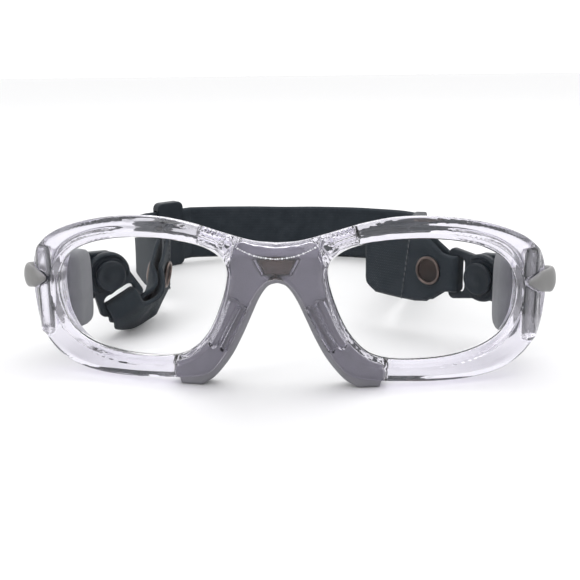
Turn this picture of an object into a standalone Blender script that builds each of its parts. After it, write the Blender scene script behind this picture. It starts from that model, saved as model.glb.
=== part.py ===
"""Sports protective goggles: clear wrap-round frame, two lenses, rubber nose saddle, side pads,
swivelling strap links, webbing tabs with press studs and an elastic head strap with two sliders.

Frame of the model: X to the wearer's left, Y from the front of the goggles to the back of the head
strap, Z up. The goggles stand on the feet of the nose saddle at Z = 0, and the origin is under the
middle of the bounding box. Sizes below are in millimetres unless a name says otherwise.
"""

import math

import bmesh
import bpy
from mathutils import Matrix, Vector, geometry

MM = 0.001

# ---- driving dimensions -------------------------------------------------------------------------
OVERALL_DEPTH = 174.4      # front of the bridge to the back of the head strap
WRAP_RADIUS = 150.0        # radius of the front, seen from above
RIM_DEPTH = 7.0            # front to back of the rim round a lens
BRIDGE_WALL = 2.7          # clear wall in front of the nose saddle
GAP = 0.32                 # between pieces that touch

LENS_THICKNESS = 2.0
LENS_SETBACK = 3.0         # front of the rim to the front of the lens
LENS_LIP = 1.5             # how far the lens reaches into its groove

SADDLE_DEPTH = 6.0

ARM_THICKNESS = 3.0
PAD_THICKNESS = 3.4
CAP_THICKNESS = 2.2

PIVOT = Vector((57.0, 45.0, 21.0))   # middle of the wearer's left link pivot
LINK_YAW = math.radians(40)          # the link points this much backwards of straight inwards
LEFT_LINK_DROP = 0.0                 # turn of the link about its rivet from level
RIGHT_LINK_DROP = math.radians(66)
LINK_THICKNESS = 2.2
LINK_END_RADIUS = 7.2
LINK_LENGTH = 11.6                   # pivot to the far edge of the bar
LINK_HALF_WIDTH = 7.9
SLOT_HALF_LENGTH = 6.65
SLOT_NEAR = 5.9                      # near and far edge of the slot, from the pivot
SLOT_FAR = 9.4
RIVET_RADIUS = 1.6
RIVET_HEAD_RADIUS = 3.0
RIVET_CAP_RADIUS = 5.3
RIVET_CAP_HEIGHT = 1.5

WEBBING_WIDTH = 22.0
WEBBING_AT_BAR = 11.4
WEBBING_THICKNESS = 1.3
SNAP_ALONG = 19.3                    # pivot to press stud, along the tab
SNAP_RADIUS = 4.5
SNAP_HOLE_RADIUS = 1.7               # through both leaves of the tab
SNAP_POST_RADIUS = 1.2
LEG_OFFSET = 1.5                     # middle of each folded leg from the middle of the tab
STITCH_ALONG = 31.0                  # pivot to the seam between tab and head strap
TAB_END_ALONG = 44.0
INNER_LEG_WIDTHS = [17, 21.5, 22, 21, 17.8]   # left tab, from its free end to the bar
OUTER_LEG_WIDTHS = [17.8, 21, 22]             # and from the bar to the seam
LUG_ALONG = (-7.4, -3.0, 1.5, 5.2)            # from the pivot, along a level link
LUG_HEIGHTS = [14.4, 14.0, 13.2, 8.0]
SLIDER_HEIGHT = 27.0                 # it stands on the floor and lifts the strap by its lower wall
SLIDER_LENGTH = 12.5
SLIDER_WALL = 1.3
SLIDER_WINDOW = 0.25                 # each window's length, as a share of the slider's
SLIDER_WINDOW_SHIFT = 0.23           # and its place from the middle, as the same share

# ---- outlines of the wearer's left half, (x, z), mirrored for the other half ---------------------
APERTURE = [(13.1, 30.5), (14.2, 35.1), (19.5, 38.4), (29, 39.9), (41, 39.8), (52, 37.6),
            (59.2, 33.5), (62.8, 27.3), (62.5, 19.2), (58, 12.1), (48, 8.1), (34, 7.3),
            (24.5, 9.2), (19, 14.4), (15.2, 22.2)]
SILHOUETTE = [(0, 40), (6, 40.5), (13.5, 42.4), (22, 44.8), (31, 46.2), (41, 46.0), (52, 44.2),
              (61, 41.2), (67, 37.6), (70.3, 33), (71.2, 27), (71.2, 20.5), (69.8, 13), (66.5, 7.5),
              (61, 3.6), (53, 1.6), (43, 1.2), (33, 1.7), (24.5, 2.4), (18.8, 3.8), (14.6, 8.4),
              (11.2, 14.2), (8.3, 20.4), (5.6, 26), (2.6, 29.4), (0, 30.3)]
SADDLE_ARCH = [(0, 28.8), (2.4, 27.9), (4.9, 24.4), (7.3, 19.2), (10, 13.2), (13, 7.8), (17.4, 2.4),
               (21, 0)]
SADDLE_BACK = [(26.6, 0), (27.6, 5.6), (22.4, 7.8), (17.1, 12.6), (13.6, 19.5), (11.6, 26),
               (10.6, 31.2), (10.7, 35.0), (9.2, 38.2), (4.8, 38.9), (0, 38.6)]
NOSE_SLOTS = [((11.2, 23.6), (17.0, 12.4), 1.1), ((8.9, 22.4), (14.5, 11.2), 0.75)]
BROW_POCKET = ((11.8, 40.6), (18.6, 42.6), 0.9)

# ---- centre lines seen from above, (x, y, z) ------------------------------------------------------
ARM_PATH = [(67.2, 17.0, 23.0), (66.4, 24, 22.5), (65.9, 32, 21.8), (65.7, 38.5, 21.3)]
ARM_HEIGHTS = [24, 23, 20, 16]
PAD_PATH = [(62.9, 22.6, 21.0), (62.6, 27, 20.8), (62.2, 32, 20.4), (61.7, 37.2, 20.0)]
PAD_HEIGHTS = [18, 23, 23, 18]
CAP_PATH = [(65.9, 14.3, 26.8), (69.6, 16.8, 26.8), (72.6, 20.2, 26.6), (71.8, 25.5, 26.2),
            (69.2, 37, 25.2)]
CAP_HEIGHTS = [1.2, 4.6, 7.4, 7.2, 3.2]
LEFT_STRETCH = ((39.4, 114, 12.6), (44.2, 138, 12.6))      # straight, where the left slider runs
RIGHT_STRETCH = ((-54.0, 161.8, 12.6), (-69.8, 145.2, 12.6))
LEFT_BAND_START = [(31.0, 69.0, 20.6), (31.2, 76, 19.6), (33.2, 87, 17.2), (36.3, 101, 14.0)]
BACK_BAND = [(43.4, 148, 12.2), (37.5, 159, 11.6), (27, 167, 11.2), (14, 171.6, 11.1), (0, 173.4, 11.1),
             (-16, 173, 11.1), (-32, 170.2, 11.7)]
RIGHT_BAND_END = [(-71.6, 138.5, 12.4), (-68.8, 127, 12.2), (-62.6, 112.5, 12.4), (-55.6, 98, 14.0),
                  (-49.4, 88, 17.6)]
RIGHT_TAB = [(-51.9, 50.9, 7.9), (-49.4, 57, 8.0), (-47.9, 64.5, 11.6), (-47.3, 72, 15.4),
             (-46.8, 79, 18.7)]
RIGHT_TAB_TILT = [(0.74, 0.36, 0.56), (0.66, 0.0, 0.75), (0.22, -0.3, 0.93), (0.16, -0.3, 0.94),
                  (0.12, -0.3, 0.95)]
RIGHT_TAB_WIDTHS = [15, 18.5, 21, 22, 22]


# ---- small helpers --------------------------------------------------------------------------------
def smooth(points, steps, closed=False):
    """A smooth curve through the points, with this many steps between neighbours."""
    knots = [Vector(p) for p in points]
    count = len(knots)
    spans = count if closed else count - 1
    out = []
    for i in range(spans):
        a, b = knots[i], knots[(i + 1) % count]
        before = knots[i - 1] if closed or i > 0 else a
        after = knots[(i + 2) % count] if closed or i + 2 < count else b
        chord = (b - a).length
        lead = (b - before).normalized() * chord / 3
        trail = (after - a).normalized() * chord / 3
        run = geometry.interpolate_bezier(a.to_3d(), (a + lead).to_3d(), (b - trail).to_3d(),
                                          b.to_3d(), steps + 1)
        out += run[:-1]
    if not closed:
        out.append(knots[-1].to_3d())
    return out


def mirrored(points, side):
    return [(side * p[0],) + tuple(p[1:]) for p in points]


def straight(start, end):
    """Points that keep a smooth curve straight between two ends."""
    return [Vector(start).lerp(Vector(end), f) for f in (0, 0.06, 0.94, 1)]


def offset_loop(loop, distance):
    """A closed plane loop moved outwards; positive grows it."""
    count = len(loop)
    area = sum(loop[i - 1].x * loop[i].y - loop[i].x * loop[i - 1].y for i in range(count))
    turn = 1 if area > 0 else -1
    out = []
    for i in range(count):
        tangent = (loop[(i + 1) % count] - loop[i - 1]).normalized()
        out.append(loop[i] + Vector((tangent.y, -tangent.x, 0)) * distance * turn)
    return out


def sag(x):
    """How far the front surface lies behind the bridge at this half width."""
    return WRAP_RADIUS - math.sqrt(WRAP_RADIUS ** 2 - x * x)


def capsule(start, end, radius, steps=6):
    """A slot shape with round ends between two plane points."""
    a, b = Vector(start).to_3d(), Vector(end).to_3d()
    heading = math.atan2(b.y - a.y, b.x - a.x)
    out = []
    for centre, first in ((b, -90), (a, 90)):
        for i in range(steps + 1):
            angle = heading + math.radians(first + 180 * i / steps)
            out.append(centre + Vector((math.cos(angle), math.sin(angle), 0)) * radius)
    return out


# ---- scene, collections, materials ----------------------------------------------------------------
def clear_scene():
    for old in list(bpy.data.objects):
        bpy.data.objects.remove(old, do_unlink=True)


def collection(name):
    made = bpy.data.collections.new(name)
    bpy.context.scene.collection.children.link(made)
    return made


def material(name, colour, roughness, metallic=0.0, alpha=1.0):
    made = bpy.data.materials.new(name)
    made.use_nodes = True
    shader = made.node_tree.nodes["Principled BSDF"]
    shader.inputs["Base Color"].default_value = (*colour, 1)
    shader.inputs["Roughness"].default_value = roughness
    shader.inputs["Metallic"].default_value = metallic
    shader.inputs["Alpha"].default_value = alpha
    return made


clear_scene()
PARTS = collection("sports_goggles")
CUTTERS = collection("cutters")
BASE = bpy.data.objects.new("goggles_base", None)
BASE.location = (0, -OVERALL_DEPTH / 2 * MM, 0)
PARTS.objects.link(BASE)


def add_object(name, mesh, look=None, cutter=False):
    """A named object in the part's or the cutters' collection, in base coordinates."""
    made = bpy.data.objects.new(name, mesh)
    (CUTTERS if cutter else PARTS).objects.link(made)
    made.parent = BASE
    if cutter:
        made.hide_render = True
        made.display_type = "WIRE"
    if look:
        mesh.materials.clear()
        mesh.materials.append(look)
    return made


def mesh_from_curve(curve):
    """The filled curve as a welded mesh; the curve itself goes."""
    holder = bpy.data.objects.new("outline", curve)
    PARTS.objects.link(holder)
    bpy.context.view_layer.update()
    mesh = bpy.data.meshes.new_from_object(holder.evaluated_get(bpy.context.evaluated_depsgraph_get()))
    bpy.data.objects.remove(holder, do_unlink=True)
    bm = bmesh.new()
    bm.from_mesh(mesh)
    bmesh.ops.remove_doubles(bm, verts=bm.verts, dist=1e-6)
    bm.to_mesh(mesh)
    bm.free()
    return mesh


def outline_mesh(loops, thickness):
    """A flat plate, in millimetre outlines, with the thickness centred on Z = 0."""
    curve = bpy.data.curves.new("outline", "CURVE")
    curve.dimensions = "2D"
    curve.fill_mode = "BOTH"
    curve.extrude = thickness / 2 * MM
    for loop in loops:
        spline = curve.splines.new("POLY")
        spline.points.add(len(loop) - 1)
        for point, at in zip(spline.points, loop):
            point.co = (at[0] * MM, at[1] * MM, 0, 1)
        spline.use_cyclic_u = True
    return mesh_from_curve(curve)


def front_plate(name, loops, front, back, look=None, cutter=False):
    """A plate that follows the wrap of the front, between two depths behind its surface."""
    mesh = outline_mesh(loops, back - front)
    middle = (front + back) / 2 * MM
    for vertex in mesh.vertices:
        x, z, depth = vertex.co
        vertex.co = (x, middle - depth + sag(x / MM) * MM, z)
    return add_object(name, mesh, look, cutter)


def ribbon(name, path, widths, tilts, thickness, look=None, cutter=False, steps=4):
    """A strip of one thickness along a smooth path; tilts point across the strip."""
    centre = smooth(path, steps)
    across = smooth(tilts, steps) if isinstance(tilts, list) else [Vector(tilts)] * len(centre)
    spread = smooth([(w, 0, 0) for w in widths], steps) if isinstance(widths, list) else None
    bm = bmesh.new()
    rows = []
    for i, point in enumerate(centre):
        half = (spread[i].x if spread else widths) / 2
        row = [point + across[i].normalized() * half * f for f in (-1, 0, 1)]
        rows.append([bm.verts.new(v * MM) for v in row])
    for lower, upper in zip(rows, rows[1:]):
        for k in range(2):
            bm.faces.new((lower[k], lower[k + 1], upper[k + 1], upper[k]))
    mesh = bpy.data.meshes.new(name)
    bm.to_mesh(mesh)
    bm.free()
    made = add_object(name, mesh, look, cutter)
    shell = made.modifiers.new("thickness", "SOLIDIFY")
    shell.thickness = thickness * MM
    shell.offset = 0
    return made


def cut(target, cutter, operation="DIFFERENCE"):
    change = target.modifiers.new(cutter.name, "BOOLEAN")
    change.operation = operation
    change.solver = "EXACT"
    change.object = cutter


def finish(made):
    """Shade the piece smooth, with its corners kept sharp."""
    made.data.shade_smooth()
    made.data.set_sharp_from_angle(angle=math.radians(35))


def cylinder(name, radius, depth, place, look=None, cutter=False, sides=28):
    """A round bar centred on place, a matrix whose Z is the bar's axis."""
    bm = bmesh.new()
    bmesh.ops.create_cone(bm, cap_ends=True, segments=sides, radius1=radius * MM,
                          radius2=radius * MM, depth=depth * MM)
    mesh = bpy.data.meshes.new(name)
    bm.to_mesh(mesh)
    bm.free()
    made = add_object(name, mesh, look, cutter)
    made.matrix_local = place
    return made


def turned(name, profile, place, look, sides=32):
    """A turned piece: a closed (radius, height) profile swept round Z."""
    bm = bmesh.new()
    ring = [bm.verts.new((r * MM, 0, h * MM)) for r, h in profile]
    for a, b in zip(ring, ring[1:]):
        bm.edges.new((a, b))
    if profile[0][0] > 0:
        bm.edges.new((ring[-1], ring[0]))
    mesh = bpy.data.meshes.new(name)
    bm.to_mesh(mesh)
    bm.free()
    made = add_object(name, mesh, look)
    made.matrix_local = place
    sweep = made.modifiers.new("turn", "SCREW")
    sweep.steps = sides
    sweep.render_steps = sides
    sweep.use_merge_vertices = True
    sweep.merge_threshold = 0.00001
    sweep.use_normal_calculate = False
    return made


# ---- the link's own axes --------------------------------------------------------------------------
def link_axes(side):
    """Along the link, across it, and out of its face towards the wearer, at the link's rest turn."""
    level = Vector((-side * math.cos(LINK_YAW), math.sin(LINK_YAW), 0))
    face = Vector((-side * math.sin(LINK_YAW), -math.cos(LINK_YAW), 0))
    drop = LEFT_LINK_DROP if side > 0 else RIGHT_LINK_DROP
    up = Vector((0, 0, 1))
    along = level * math.cos(drop) - up * math.sin(drop)
    across = level * math.sin(drop) + up * math.cos(drop)
    return along, across, face


def pivot_point(side):
    return Vector((side * PIVOT.x, PIVOT.y, PIVOT.z))


def link_point(side, along, across, out):
    """A point given by its distances from the pivot along the link's axes."""
    a, c, f = link_axes(side)
    return pivot_point(side) + a * along + c * across + f * out


def link_place(side, out, along=0.0):
    """A matrix at a point on the link with Z out of its face and X along it."""
    a, c, f = link_axes(side)
    turn = Matrix((a, f.cross(a), f)).transposed().to_4x4()
    return Matrix.Translation(link_point(side, along, 0, out) * MM) @ turn


# ---- materials --------------------------------------------------------------------------------------
CLEAR = material("clear_plastic", (0.80, 0.78, 0.86), 0.06, alpha=0.35)
LENS = material("lens_plastic", (0.95, 0.96, 0.98), 0.02, alpha=0.18)
GREY_RUBBER = material("grey_rubber", (0.22, 0.22, 0.24), 0.55)
GREY_PLASTIC = material("grey_plastic", (0.28, 0.28, 0.29), 0.45)
BLACK_PLASTIC = material("black_plastic", (0.025, 0.028, 0.032), 0.4)
WEBBING = material("webbing", (0.03, 0.035, 0.042), 0.85)
GUNMETAL = material("gunmetal", (0.24, 0.19, 0.17), 0.35, metallic=1.0)
STEEL = material("rivet_steel", (0.5, 0.5, 0.52), 0.35, metallic=1.0)


# ---- the clear frame --------------------------------------------------------------------------------
def make_frame():
    right_half = smooth(SILHOUETTE, 3)
    left_half = [Vector((-p.x, p.y, 0)) for p in reversed(right_half[1:-1])]
    holes = [smooth(mirrored(APERTURE, side), 3, closed=True) for side in (1, -1)]
    frame = front_plate("front_frame", [right_half + left_half] + holes, 0, RIM_DEPTH, CLEAR)

    saddle_room = front_plate("cut_saddle", [offset_loop(saddle_loop(), GAP)], BRIDGE_WALL,
                              RIM_DEPTH + 6, cutter=True)
    cut(frame, saddle_room)

    for side, name in ((1, "left"), (-1, "right")):
        lug_path = ARM_PATH + [tuple(link_root) for link_root in lug_points()]
        arm = ribbon("arm_" + name, mirrored(lug_path, side), ARM_HEIGHTS + LUG_HEIGHTS, (0, 0, 1),
                     ARM_THICKNESS, cutter=True)
        cut(frame, arm, "UNION")
        groove_loop = offset_loop(smooth(mirrored(APERTURE, side), 3, closed=True), LENS_LIP + GAP)
        groove = front_plate("cut_groove_" + name, [groove_loop], LENS_SETBACK - GAP,
                             LENS_SETBACK + LENS_THICKNESS + GAP, cutter=True)
        subdivide_for_wrap(groove)
        cut(frame, groove)
        for k, (start, end, radius) in enumerate(NOSE_SLOTS):
            shape = capsule((side * start[0], start[1]), (side * end[0], end[1]), radius)
            slot = front_plate(f"cut_slot_{name}_{k}", [shape], -2, 1.3, cutter=True)
            cut(frame, slot)
        start, end, radius = BROW_POCKET
        shape = capsule((side * start[0], start[1]), (side * end[0], end[1]), radius)
        cut(frame, front_plate("cut_brow_" + name, [shape], 3.2, RIM_DEPTH + 2, cutter=True))
        room = ribbon("cut_cap_" + name, mirrored(CAP_PATH, side),
                      [h + 2 * GAP + 0.2 for h in CAP_HEIGHTS], (0, 0, 1),
                      CAP_THICKNESS + 2 * GAP, cutter=True)
        cut(frame, room)
        place = lug_place(side)
        cut(frame, cylinder("cut_rivet_" + name, RIVET_RADIUS + GAP, 20, place, cutter=True))
    finish(frame)


def lug_points():
    """Middle of the lug that carries the link: behind the link, parallel to its face."""
    behind = -(LINK_THICKNESS / 2 + GAP + ARM_THICKNESS / 2)
    level = Vector((-math.cos(LINK_YAW), math.sin(LINK_YAW), 0))
    face = Vector((-math.sin(LINK_YAW), -math.cos(LINK_YAW), 0))
    return [PIVOT + level * along + face * behind for along in LUG_ALONG]


def lug_place(side):
    """A matrix at the pivot with Z along the rivet, out of the lug towards the wearer."""
    level = Vector((-side * math.cos(LINK_YAW), math.sin(LINK_YAW), 0))
    face = Vector((-side * math.sin(LINK_YAW), -math.cos(LINK_YAW), 0))
    turn = Matrix((level, face.cross(level), face)).transposed().to_4x4()
    return Matrix.Translation(pivot_point(side) * MM) @ turn


def subdivide_for_wrap(plate):
    """Nothing but the outline bends with the front, so a wide plate is rebuilt from rings."""
    rings = 5
    old = plate.data
    count = len(old.vertices) // 2
    front = sorted(range(len(old.vertices)), key=lambda i: old.vertices[i].co.y
                   - sag(old.vertices[i].co.x / MM) * MM)[:count]
    y_front = old.vertices[front[0]].co.y - sag(old.vertices[front[0]].co.x / MM) * MM
    y_back = max(v.co.y - sag(v.co.x / MM) * MM for v in old.vertices)
    middle = sum((old.vertices[i].co for i in front), Vector()) / count
    order = sorted(front, key=lambda i: math.atan2(old.vertices[i].co.z - middle.z,
                                                   old.vertices[i].co.x - middle.x))
    loop = [(old.vertices[i].co.x, old.vertices[i].co.z) for i in order]
    plate.data = ringed_plate(plate.name, loop, (middle.x, middle.z), y_front, y_back, rings)


def ringed_plate(name, loop, middle, front, back, rings):
    """A closed wrapped plate of concentric rings, sizes in metres."""
    bm = bmesh.new()

    def layer(depth):
        rows = []
        for k in range(rings, 0, -1):
            row = []
            for x, z in loop:
                px = middle[0] + (x - middle[0]) * k / rings
                pz = middle[1] + (z - middle[1]) * k / rings
                row.append(bm.verts.new((px, depth + sag(px / MM) * MM, pz)))
            rows.append(row)
        tip = bm.verts.new((middle[0], depth + sag(middle[0] / MM) * MM, middle[1]))
        return rows, tip

    def skin(rows, tip):
        count = len(loop)
        for outer, inner in zip(rows, rows[1:]):
            for i in range(count):
                j = (i + 1) % count
                bm.faces.new((outer[i], outer[j], inner[j], inner[i]))
        for i in range(count):
            bm.faces.new((rows[-1][i], rows[-1][(i + 1) % count], tip))

    front_rows, front_tip = layer(front)
    back_rows, back_tip = layer(back)
    skin(front_rows, front_tip)
    skin(back_rows, back_tip)
    for i in range(len(loop)):
        j = (i + 1) % len(loop)
        bm.faces.new((front_rows[0][i], front_rows[0][j], back_rows[0][j], back_rows[0][i]))
    bmesh.ops.recalc_face_normals(bm, faces=bm.faces)
    mesh = bpy.data.meshes.new(name)
    bm.to_mesh(mesh)
    bm.free()
    return mesh


def make_lenses():
    for side, name in ((1, "left"), (-1, "right")):
        loop = offset_loop(smooth(mirrored(APERTURE, side), 3, closed=True), LENS_LIP)
        middle = (side * 38.0 * MM, 23.6 * MM)
        mesh = ringed_plate("lens_" + name, [(p.x * MM, p.y * MM) for p in loop], middle,
                            LENS_SETBACK * MM, (LENS_SETBACK + LENS_THICKNESS) * MM, 5)
        finish(add_object("lens_" + name, mesh, LENS))


# ---- rubber and grey trim -----------------------------------------------------------------------------
def saddle_loop():
    half = smooth(SADDLE_ARCH, 3) + smooth(SADDLE_BACK, 2)
    return half + [Vector((-p.x, p.y, 0)) for p in reversed(half[1:-1])]


def make_saddle():
    front = BRIDGE_WALL + GAP
    finish(front_plate("nose_pad", [saddle_loop()], front, front + SADDLE_DEPTH, GREY_RUBBER))


def make_side_trim():
    for side, name in ((1, "left"), (-1, "right")):
        pad = ribbon("side_pad_" + name, mirrored(PAD_PATH, side), PAD_HEIGHTS, (0, 0, 1),
                     PAD_THICKNESS, GREY_RUBBER)
        finish(pad)
        cap = ribbon("temple_cap_" + name, mirrored(CAP_PATH, side), CAP_HEIGHTS, (0, 0, 1),
                     CAP_THICKNESS, GREY_PLASTIC)
        finish(cap)


# ---- strap links and their rivets ---------------------------------------------------------------------
def link_outline():
    """Round at the pivot, flared to the bar; the slot is the second loop."""
    round_end = [Vector((math.cos(a), math.sin(a), 0)) * LINK_END_RADIUS
                 for a in (math.radians(70 + 220 * i / 18) for i in range(19))]
    corner = 1.6
    far = [(LINK_LENGTH - corner, -LINK_HALF_WIDTH), (LINK_LENGTH, -LINK_HALF_WIDTH + corner),
           (LINK_LENGTH, LINK_HALF_WIDTH - corner), (LINK_LENGTH - corner, LINK_HALF_WIDTH)]
    outer = round_end + [Vector(p).to_3d() for p in far]
    middle = (SLOT_NEAR + SLOT_FAR) / 2
    radius = (SLOT_FAR - SLOT_NEAR) / 2
    reach = SLOT_HALF_LENGTH - radius
    slot = capsule((middle, -reach), (middle, reach), radius)
    bore = [Vector((math.cos(a), math.sin(a), 0)) * (RIVET_RADIUS + GAP)
            for a in (math.radians(15 * i) for i in range(24))]
    return [outer, slot, bore]


def make_links():
    for side, name in ((1, "left"), (-1, "right")):
        mesh = outline_mesh(link_outline(), LINK_THICKNESS)
        link = add_object("strap_link_" + name, mesh, BLACK_PLASTIC)
        link.matrix_local = link_place(side, 0)
        finish(link)

        lug_far = LINK_THICKNESS / 2 + 2 * GAP + ARM_THICKNESS
        front = LINK_THICKNESS / 2 + 0.2
        rivet = [(0, front), (RIVET_RADIUS, front), (RIVET_RADIUS, -lug_far),
                 (RIVET_HEAD_RADIUS, -lug_far), (RIVET_HEAD_RADIUS - 0.3, -lug_far - 0.9),
                 (0, -lug_far - 1.2)]
        pin = turned("link_rivet_" + name, rivet, lug_place(side), STEEL)
        finish(pin)

        base = LINK_THICKNESS / 2 + 2 * GAP + 0.2
        top = base + RIVET_CAP_HEIGHT
        cap = [(0, top), (RIVET_CAP_RADIUS - 1.2, top - 0.1), (RIVET_CAP_RADIUS, top - 0.7),
               (RIVET_CAP_RADIUS, base), (0, base)]
        lid = turned("rivet_cap_" + name, cap, lug_place(side), BLACK_PLASTIC)
        finish(lid)


# ---- webbing tabs, press studs, head strap, sliders -------------------------------------------------------
def bar_wrap(side):
    """Centre line of the webbing round the link's bar, from the wearer's side to the outside."""
    middle = (SLOT_FAR + LINK_LENGTH) / 2
    clear = LINK_THICKNESS / 2 + GAP + WEBBING_THICKNESS / 2
    near = middle - (LINK_LENGTH - SLOT_FAR) / 2 - GAP - WEBBING_THICKNESS / 2
    turn = [(middle + 2.6, 0.93), (middle, 1.0), (near + 0.3, 0.84), (near, 0.0)]
    turn += [(along, -out) for along, out in reversed(turn[:-1])]
    return [link_point(side, along, 0, out * clear) for along, out in turn]


def make_left_tab():
    leg = LEG_OFFSET
    inner = [link_point(1, along, 0, leg) for along in (TAB_END_ALONG, TAB_END_ALONG - 4, 30, 24, 19)]
    outer = [link_point(1, along, 0, -leg) for along in (19, 24, STITCH_ALONG)]
    path = inner + bar_wrap(1) + outer
    beyond_bar = WEBBING_AT_BAR + 2
    widths = [*INNER_LEG_WIDTHS, beyond_bar, *[WEBBING_AT_BAR] * 5, beyond_bar, *OUTER_LEG_WIDTHS]
    tab = ribbon("strap_tab_left", path, widths, (0, 0, 1), WEBBING_THICKNESS, WEBBING)
    cut(tab, snap_hole("left", 1))
    finish(tab)


def make_right_tab():
    across, face = link_axes(-1)[1:]
    wrap = bar_wrap(-1)
    tilts = [Vector(t).normalized() for t in RIGHT_TAB_TILT]
    legs = []
    for shift in (LEG_OFFSET, -LEG_OFFSET):
        run = []
        for i, point in enumerate(RIGHT_TAB):
            ahead = Vector(RIGHT_TAB[min(i + 1, len(RIGHT_TAB) - 1)])
            back = Vector(RIGHT_TAB[max(i - 1, 0)])
            normal = tilts[i].cross((ahead - back).normalized()).normalized()
            run.append(Vector(point) + normal * shift * (-1 if normal.dot(face) < 0 else 1))
        legs.append(run)
    path = list(reversed(legs[0])) + wrap + legs[1]
    widths = list(reversed(RIGHT_TAB_WIDTHS)) + [WEBBING_AT_BAR] * len(wrap) + RIGHT_TAB_WIDTHS
    spread = list(reversed(tilts)) + [across] * len(wrap) + tilts
    tab = ribbon("strap_tab_right", path, widths, spread, WEBBING_THICKNESS, WEBBING)
    cut(tab, snap_hole("right", -1))
    finish(tab)


def snap_place(side):
    """A matrix at the press stud with Z towards the wearer."""
    if side > 0:
        return link_place(1, 0, SNAP_ALONG)
    here = Vector(RIGHT_TAB[3])
    run = (Vector(RIGHT_TAB[4]) - Vector(RIGHT_TAB[2])).normalized()
    up = Vector(RIGHT_TAB_TILT[3]).normalized()
    face = run.cross(up).normalized()
    if face.x < 0:
        face = -face
    turn = Matrix((run, face.cross(run), face)).transposed().to_4x4()
    return Matrix.Translation(here * MM) @ turn


def snap_hole(name, side):
    depth = 6 * LEG_OFFSET
    return cylinder("cut_snap_" + name, SNAP_HOLE_RADIUS, depth, snap_place(side), cutter=True,
                    sides=16)


def make_snaps():
    top = LEG_OFFSET + WEBBING_THICKNESS / 2
    for side, name in ((1, "left"), (-1, "right")):
        post = SNAP_POST_RADIUS
        ring = [(post, top - 2.6), (post, top + 0.35), (SNAP_RADIUS - 1.5, top + 0.45),
                (SNAP_RADIUS - 1.1, top + 1.1), (SNAP_RADIUS - 0.5, top + 1.2),
                (SNAP_RADIUS, top + 0.3), (SNAP_RADIUS - 0.2, top), (post + 0.15, top),
                (post + 0.15, top - 2.6)]
        ring = [(r, h + GAP) for r, h in ring]
        stud = turned("press_stud_" + name, ring, snap_place(side), GUNMETAL)
        finish(stud)
        dome = [(0, -top - 1.5), (SNAP_RADIUS - 1.6, -top - 1.3), (SNAP_RADIUS - 0.3, -top - 0.8),
                (SNAP_RADIUS, -top - 0.2), (SNAP_RADIUS - 0.3, -top), (0, -top)]
        cap = turned("stud_cap_" + name, [(r, h - GAP) for r, h in reversed(dome)],
                     snap_place(side), GUNMETAL)
        finish(cap)


def make_head_strap():
    """One elastic band from the seam of the left tab, round the head, to the right tab."""
    leg = LEG_OFFSET
    start = [link_point(1, along, 0, -leg) for along in (STITCH_ALONG + GAP, STITCH_ALONG + 1.6)]
    route = LEFT_BAND_START + straight(*LEFT_STRETCH) + BACK_BAND + straight(*RIGHT_STRETCH)
    path = start + [Vector(p) for p in route + RIGHT_BAND_END]
    end = Vector(RIGHT_TAB[-1])
    run = (Vector(RIGHT_TAB[-1]) - Vector(RIGHT_TAB[-2])).normalized()
    path += [end + run * (GAP + 1.4), end + run * GAP]
    tilts = [(0, 0, 1)] * (len(path) - 2) + [RIGHT_TAB_TILT[-1]] * 2
    strap = ribbon("head_strap", path, WEBBING_WIDTH, tilts, WEBBING_THICKNESS, WEBBING)
    finish(strap)


def make_sliders():
    """A flat slider round the strap on each straight stretch, with a bar on its outer side."""
    for name, stretch in (("left", LEFT_STRETCH), ("right", RIGHT_STRETCH)):
        start, end = (Vector(point) for point in stretch)
        run = (end - start).normalized()
        up = Vector((0, 0, 1))
        face = run.cross(up).normalized()
        place = Matrix((run, up, face)).transposed().to_4x4()
        middle = (start + end) / 2
        middle_of_slider = Vector((middle.x, middle.y, SLIDER_HEIGHT / 2 + 0.05))
        way = Matrix.Translation(middle * MM) @ place
        place = Matrix.Translation(middle_of_slider * MM) @ place
        tall, long = SLIDER_HEIGHT / 2, SLIDER_LENGTH / 2
        room_tall = WEBBING_WIDTH / 2 + GAP
        room_thick = WEBBING_THICKNESS + 2 * GAP
        body = box("slider_" + name, (2 * long, 2 * tall, room_thick + 2 * SLIDER_WALL), place,
                   BLACK_PLASTIC)
        cut(body, box("cut_way_" + name, (4 * long, 2 * room_tall, room_thick), way, cutter=True))
        for k, at in enumerate((-SLIDER_WINDOW_SHIFT, SLIDER_WINDOW_SHIFT)):
            shift = Matrix.Translation((at * SLIDER_LENGTH * MM, 0, room_thick * MM))
            size = (SLIDER_LENGTH * SLIDER_WINDOW, 2 * room_tall - 1, 2 * room_thick)
            window = box(f"cut_window_{name}_{k}", size, way @ shift, cutter=True)
            cut(body, window)
        finish(body)


def box(name, size, place, look=None, cutter=False):
    bm = bmesh.new()
    bmesh.ops.create_cube(bm, size=1.0)
    bmesh.ops.scale(bm, vec=Vector(size) * MM, verts=bm.verts)
    mesh = bpy.data.meshes.new(name)
    bm.to_mesh(mesh)
    bm.free()
    made = add_object(name, mesh, look, cutter)
    made.matrix_local = place
    return made


make_frame()
make_lenses()
make_saddle()
make_side_trim()
make_links()
make_left_tab()
make_right_tab()
make_snaps()
make_head_strap()
make_sliders()
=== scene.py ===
"""Sports protective goggles: the finished model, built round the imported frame.

Shapes are worked out in millimetres, X to the wearer's left, Y from the front of the bridge to the
back of the head strap, Z up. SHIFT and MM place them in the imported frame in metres.
"""

import math

import bmesh
import bpy
import numpy as np
from mathutils import Matrix, Vector, geometry


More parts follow.
